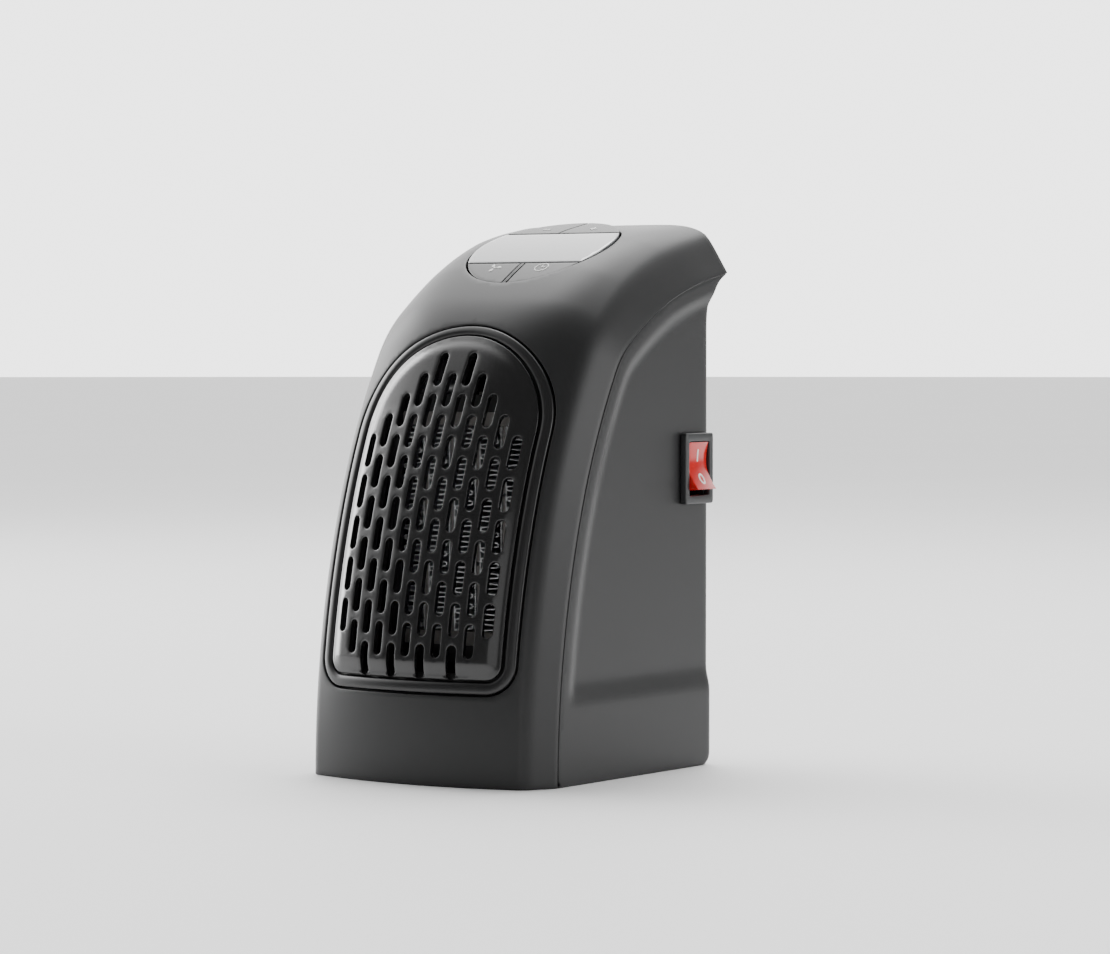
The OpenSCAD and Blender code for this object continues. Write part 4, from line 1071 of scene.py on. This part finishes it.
def plug_pieces():
    at = (0, y_rear, plug_z)
    head = clear + nose_l
    neck_r = hole_r - clear
    profile = [(0, -8.2), (9, -8.2), (9, -5.2), (neck_r, -5.2), (neck_r, clear), (table_r, clear),
        (table_r, clear + 1.6), (nose_r + 0.4, clear + 1.6), (nose_r, clear + 2.4), (nose_r, head), (0, head)]
    shape = rounded(profile, 0.7, 4, False)
    collars = [turned(rounded([(2.5, head - 1), (3.6, head - 1), (3.6, head), (2.5, head)], 0.25, 3),
        (s * pin_x, y_rear, plug_z), (0, 1, 0), 32, tube=True) for s in (-1, 1)]
    piece("plug_head", "plug_head", finishes["plug_black"],
        [turned(shape, at, (0, 1, 0), 120, nose_shape), *collars], ["plug_turntable"])
    root, tip = corner("plug_pins", 0).y - y_rear, corner("plug_pins", 1).y - y_rear
    pin = rounded([(0, root), (2.1, root), (2.1, head), (2.4, head + 0.3), (2.4, tip - 1.6), (1.3, tip),
        (0, tip)], 0.9, 5, False)
    piece("plug_pins_turned", "plug_head", finishes["pin_metal"],
        [turned(pin, (s * pin_x, y_rear, plug_z), (0, 1, 0), 32) for s in (-1, 1)], ["plug_pins"])


def screw_head(at, along, r, h, length):
    """A pan head with a dished recess, on its shank."""
    dome = [(0, -length), (1.1, -length), (1.1, 0), (r, 0), (r, h * 0.5), (r * 0.8, h), (r * 0.42, h),
        (r * 0.3, h * 0.4), (0, h * 0.35)]
    return turned(rounded(dome, 0.2, 3, False), at, along, 32)


def small_pieces():
    heads = [screw_head((s * screw_x, y_rear - 6, screw_z), (0, 1, 0), 2.7, 1.8, 40) for s in (-1, 1)]
    heads += [screw_head((s * (half_w - 15), foot_boss_y, 1.2), (0, 0, -1), 2.3, 1.0, 9) for s in (-1, 1)]
    piece("housing_screw_set", "body", finishes["screw_steel"], heads, ["housing_screws"])
    pad = rounded([(0, 1), (4, 1), (4, 0.05), (2.6, 0), (2.4, 0.25), (1.2, 0.25), (1, 0), (0, 0)],
        0.2, 3, False)
    pads = [turned(pad, (s * foot_x, y, 0), (0, 0, 1), 40) for s in (-1, 1) for y in foot_ys]
    piece("grip_pads", "body", finishes["foot_rubber"], pads, ["rubber_feet"])


front_cover()
rear_housing()
grille_ring()
front_grille()
panel_pieces()
switch_pieces()
heater_fins()
plug_pieces()
small_pieces()

# the inner nodes keep their CAD shape, with their sharp edges taken off
for name, node in frame["nodes"].items():
    if not node.hide_render:
        node.modifiers.new("joined edges", "WELD").merge_threshold = 0.002 * MM
        bevel(node, 0.12, 1)


# ---- camera, light and floor ---------------------------------------------------------------
camera_at = Vector((0.6749, -0.95, 0.1257))
yaw, pitch = math.radians(34.69), math.radians(1.93)
looking = Vector((-math.sin(yaw) * math.cos(pitch), math.cos(yaw) * math.cos(pitch), -math.sin(pitch)))
camera = bpy.data.objects.new("camera", bpy.data.cameras.new("camera"))
bpy.context.scene.collection.objects.link(camera)
camera.location = camera_at
camera.rotation_mode = "QUATERNION"
camera.rotation_quaternion = looking.to_track_quat("-Z", "Y")
camera.data.sensor_width = 36
camera.data.lens = 128.04
camera.data.clip_start, camera.data.clip_end = 0.01, 100
bpy.context.scene.camera = camera


def soft_light(name, at, size, power, colour=(1, 1, 1), target=(0, 0, 0.09)):
    light = bpy.data.lights.new(name, "AREA")
    light.shape = "RECTANGLE"
    light.size, light.size_y = size
    light.energy, light.color = power, colour
    made = bpy.data.objects.new(name, light)
    bpy.context.scene.collection.objects.link(made)
    made.location = at
    made.rotation_mode = "QUATERNION"
    made.rotation_quaternion = (Vector(target) - Vector(at)).to_track_quat("-Z", "Y")
    return made


soft_light("overhead", (-0.1, 0.7, 1.5), (1.6, 1.0), 22)
soft_light("left_rear", (-1.4, 0.1, 0.5), (0.7, 1.2), 16)
soft_light("right_side", (1.7, 0.5, 0.45), (0.9, 1.2), 20)
soft_light("front_fill", (0.9, -1.7, 0.5), (0.8, 0.8), 2)

# the studio is brighter behind and to the left, and dim in front
studio = Studio()
facing = studio.node("ShaderNodeVectorMath", {"operation": "DOT_PRODUCT"},
    {0: studio.place, 1: Vector((-0.75, 0.6, 0.3)).normalized()}, "Value")
level = studio.node("ShaderNodeMapRange", {"interpolation_type": "SMOOTHSTEP"},
    {"Value": facing, "From Min": 0.1, "From Max": 0.9, "To Min": 0.16, "To Max": 3.4})
studio.feed(Color=(1, 1, 1), Strength=level)

sides = 96
floor_mesh = bpy.data.meshes.new("studio_floor")
rings = [(r, 0) for r in (0.4, 1.0, 2.5, 6, 14)]
floor_points = [(0, 0, 0)] + [(r * math.cos(math.tau * i / sides), r * math.sin(math.tau * i / sides), z)
    for r, z in rings for i in range(sides)]
floor_faces = [(0, 1 + i, 1 + (i + 1) % sides) for i in range(sides)]
for k in range(len(rings) - 1):
    a, b = 1 + k * sides, 1 + (k + 1) * sides
    floor_faces += [(a + i, b + i, b + (i + 1) % sides, a + (i + 1) % sides) for i in range(sides)]
floor_mesh.from_pydata(floor_points, [], floor_faces)
paper = Finish("studio paper")
paper.feed(Base_Color=paper.mix(paper.noise(0.004, 2), (0.9, 0.9, 0.9), (0.93, 0.93, 0.93)), Roughness=0.7)
floor_mesh.materials.append(paper.material)
floor = bpy.data.objects.new("studio_floor", floor_mesh)
bpy.context.scene.collection.objects.link(floor)
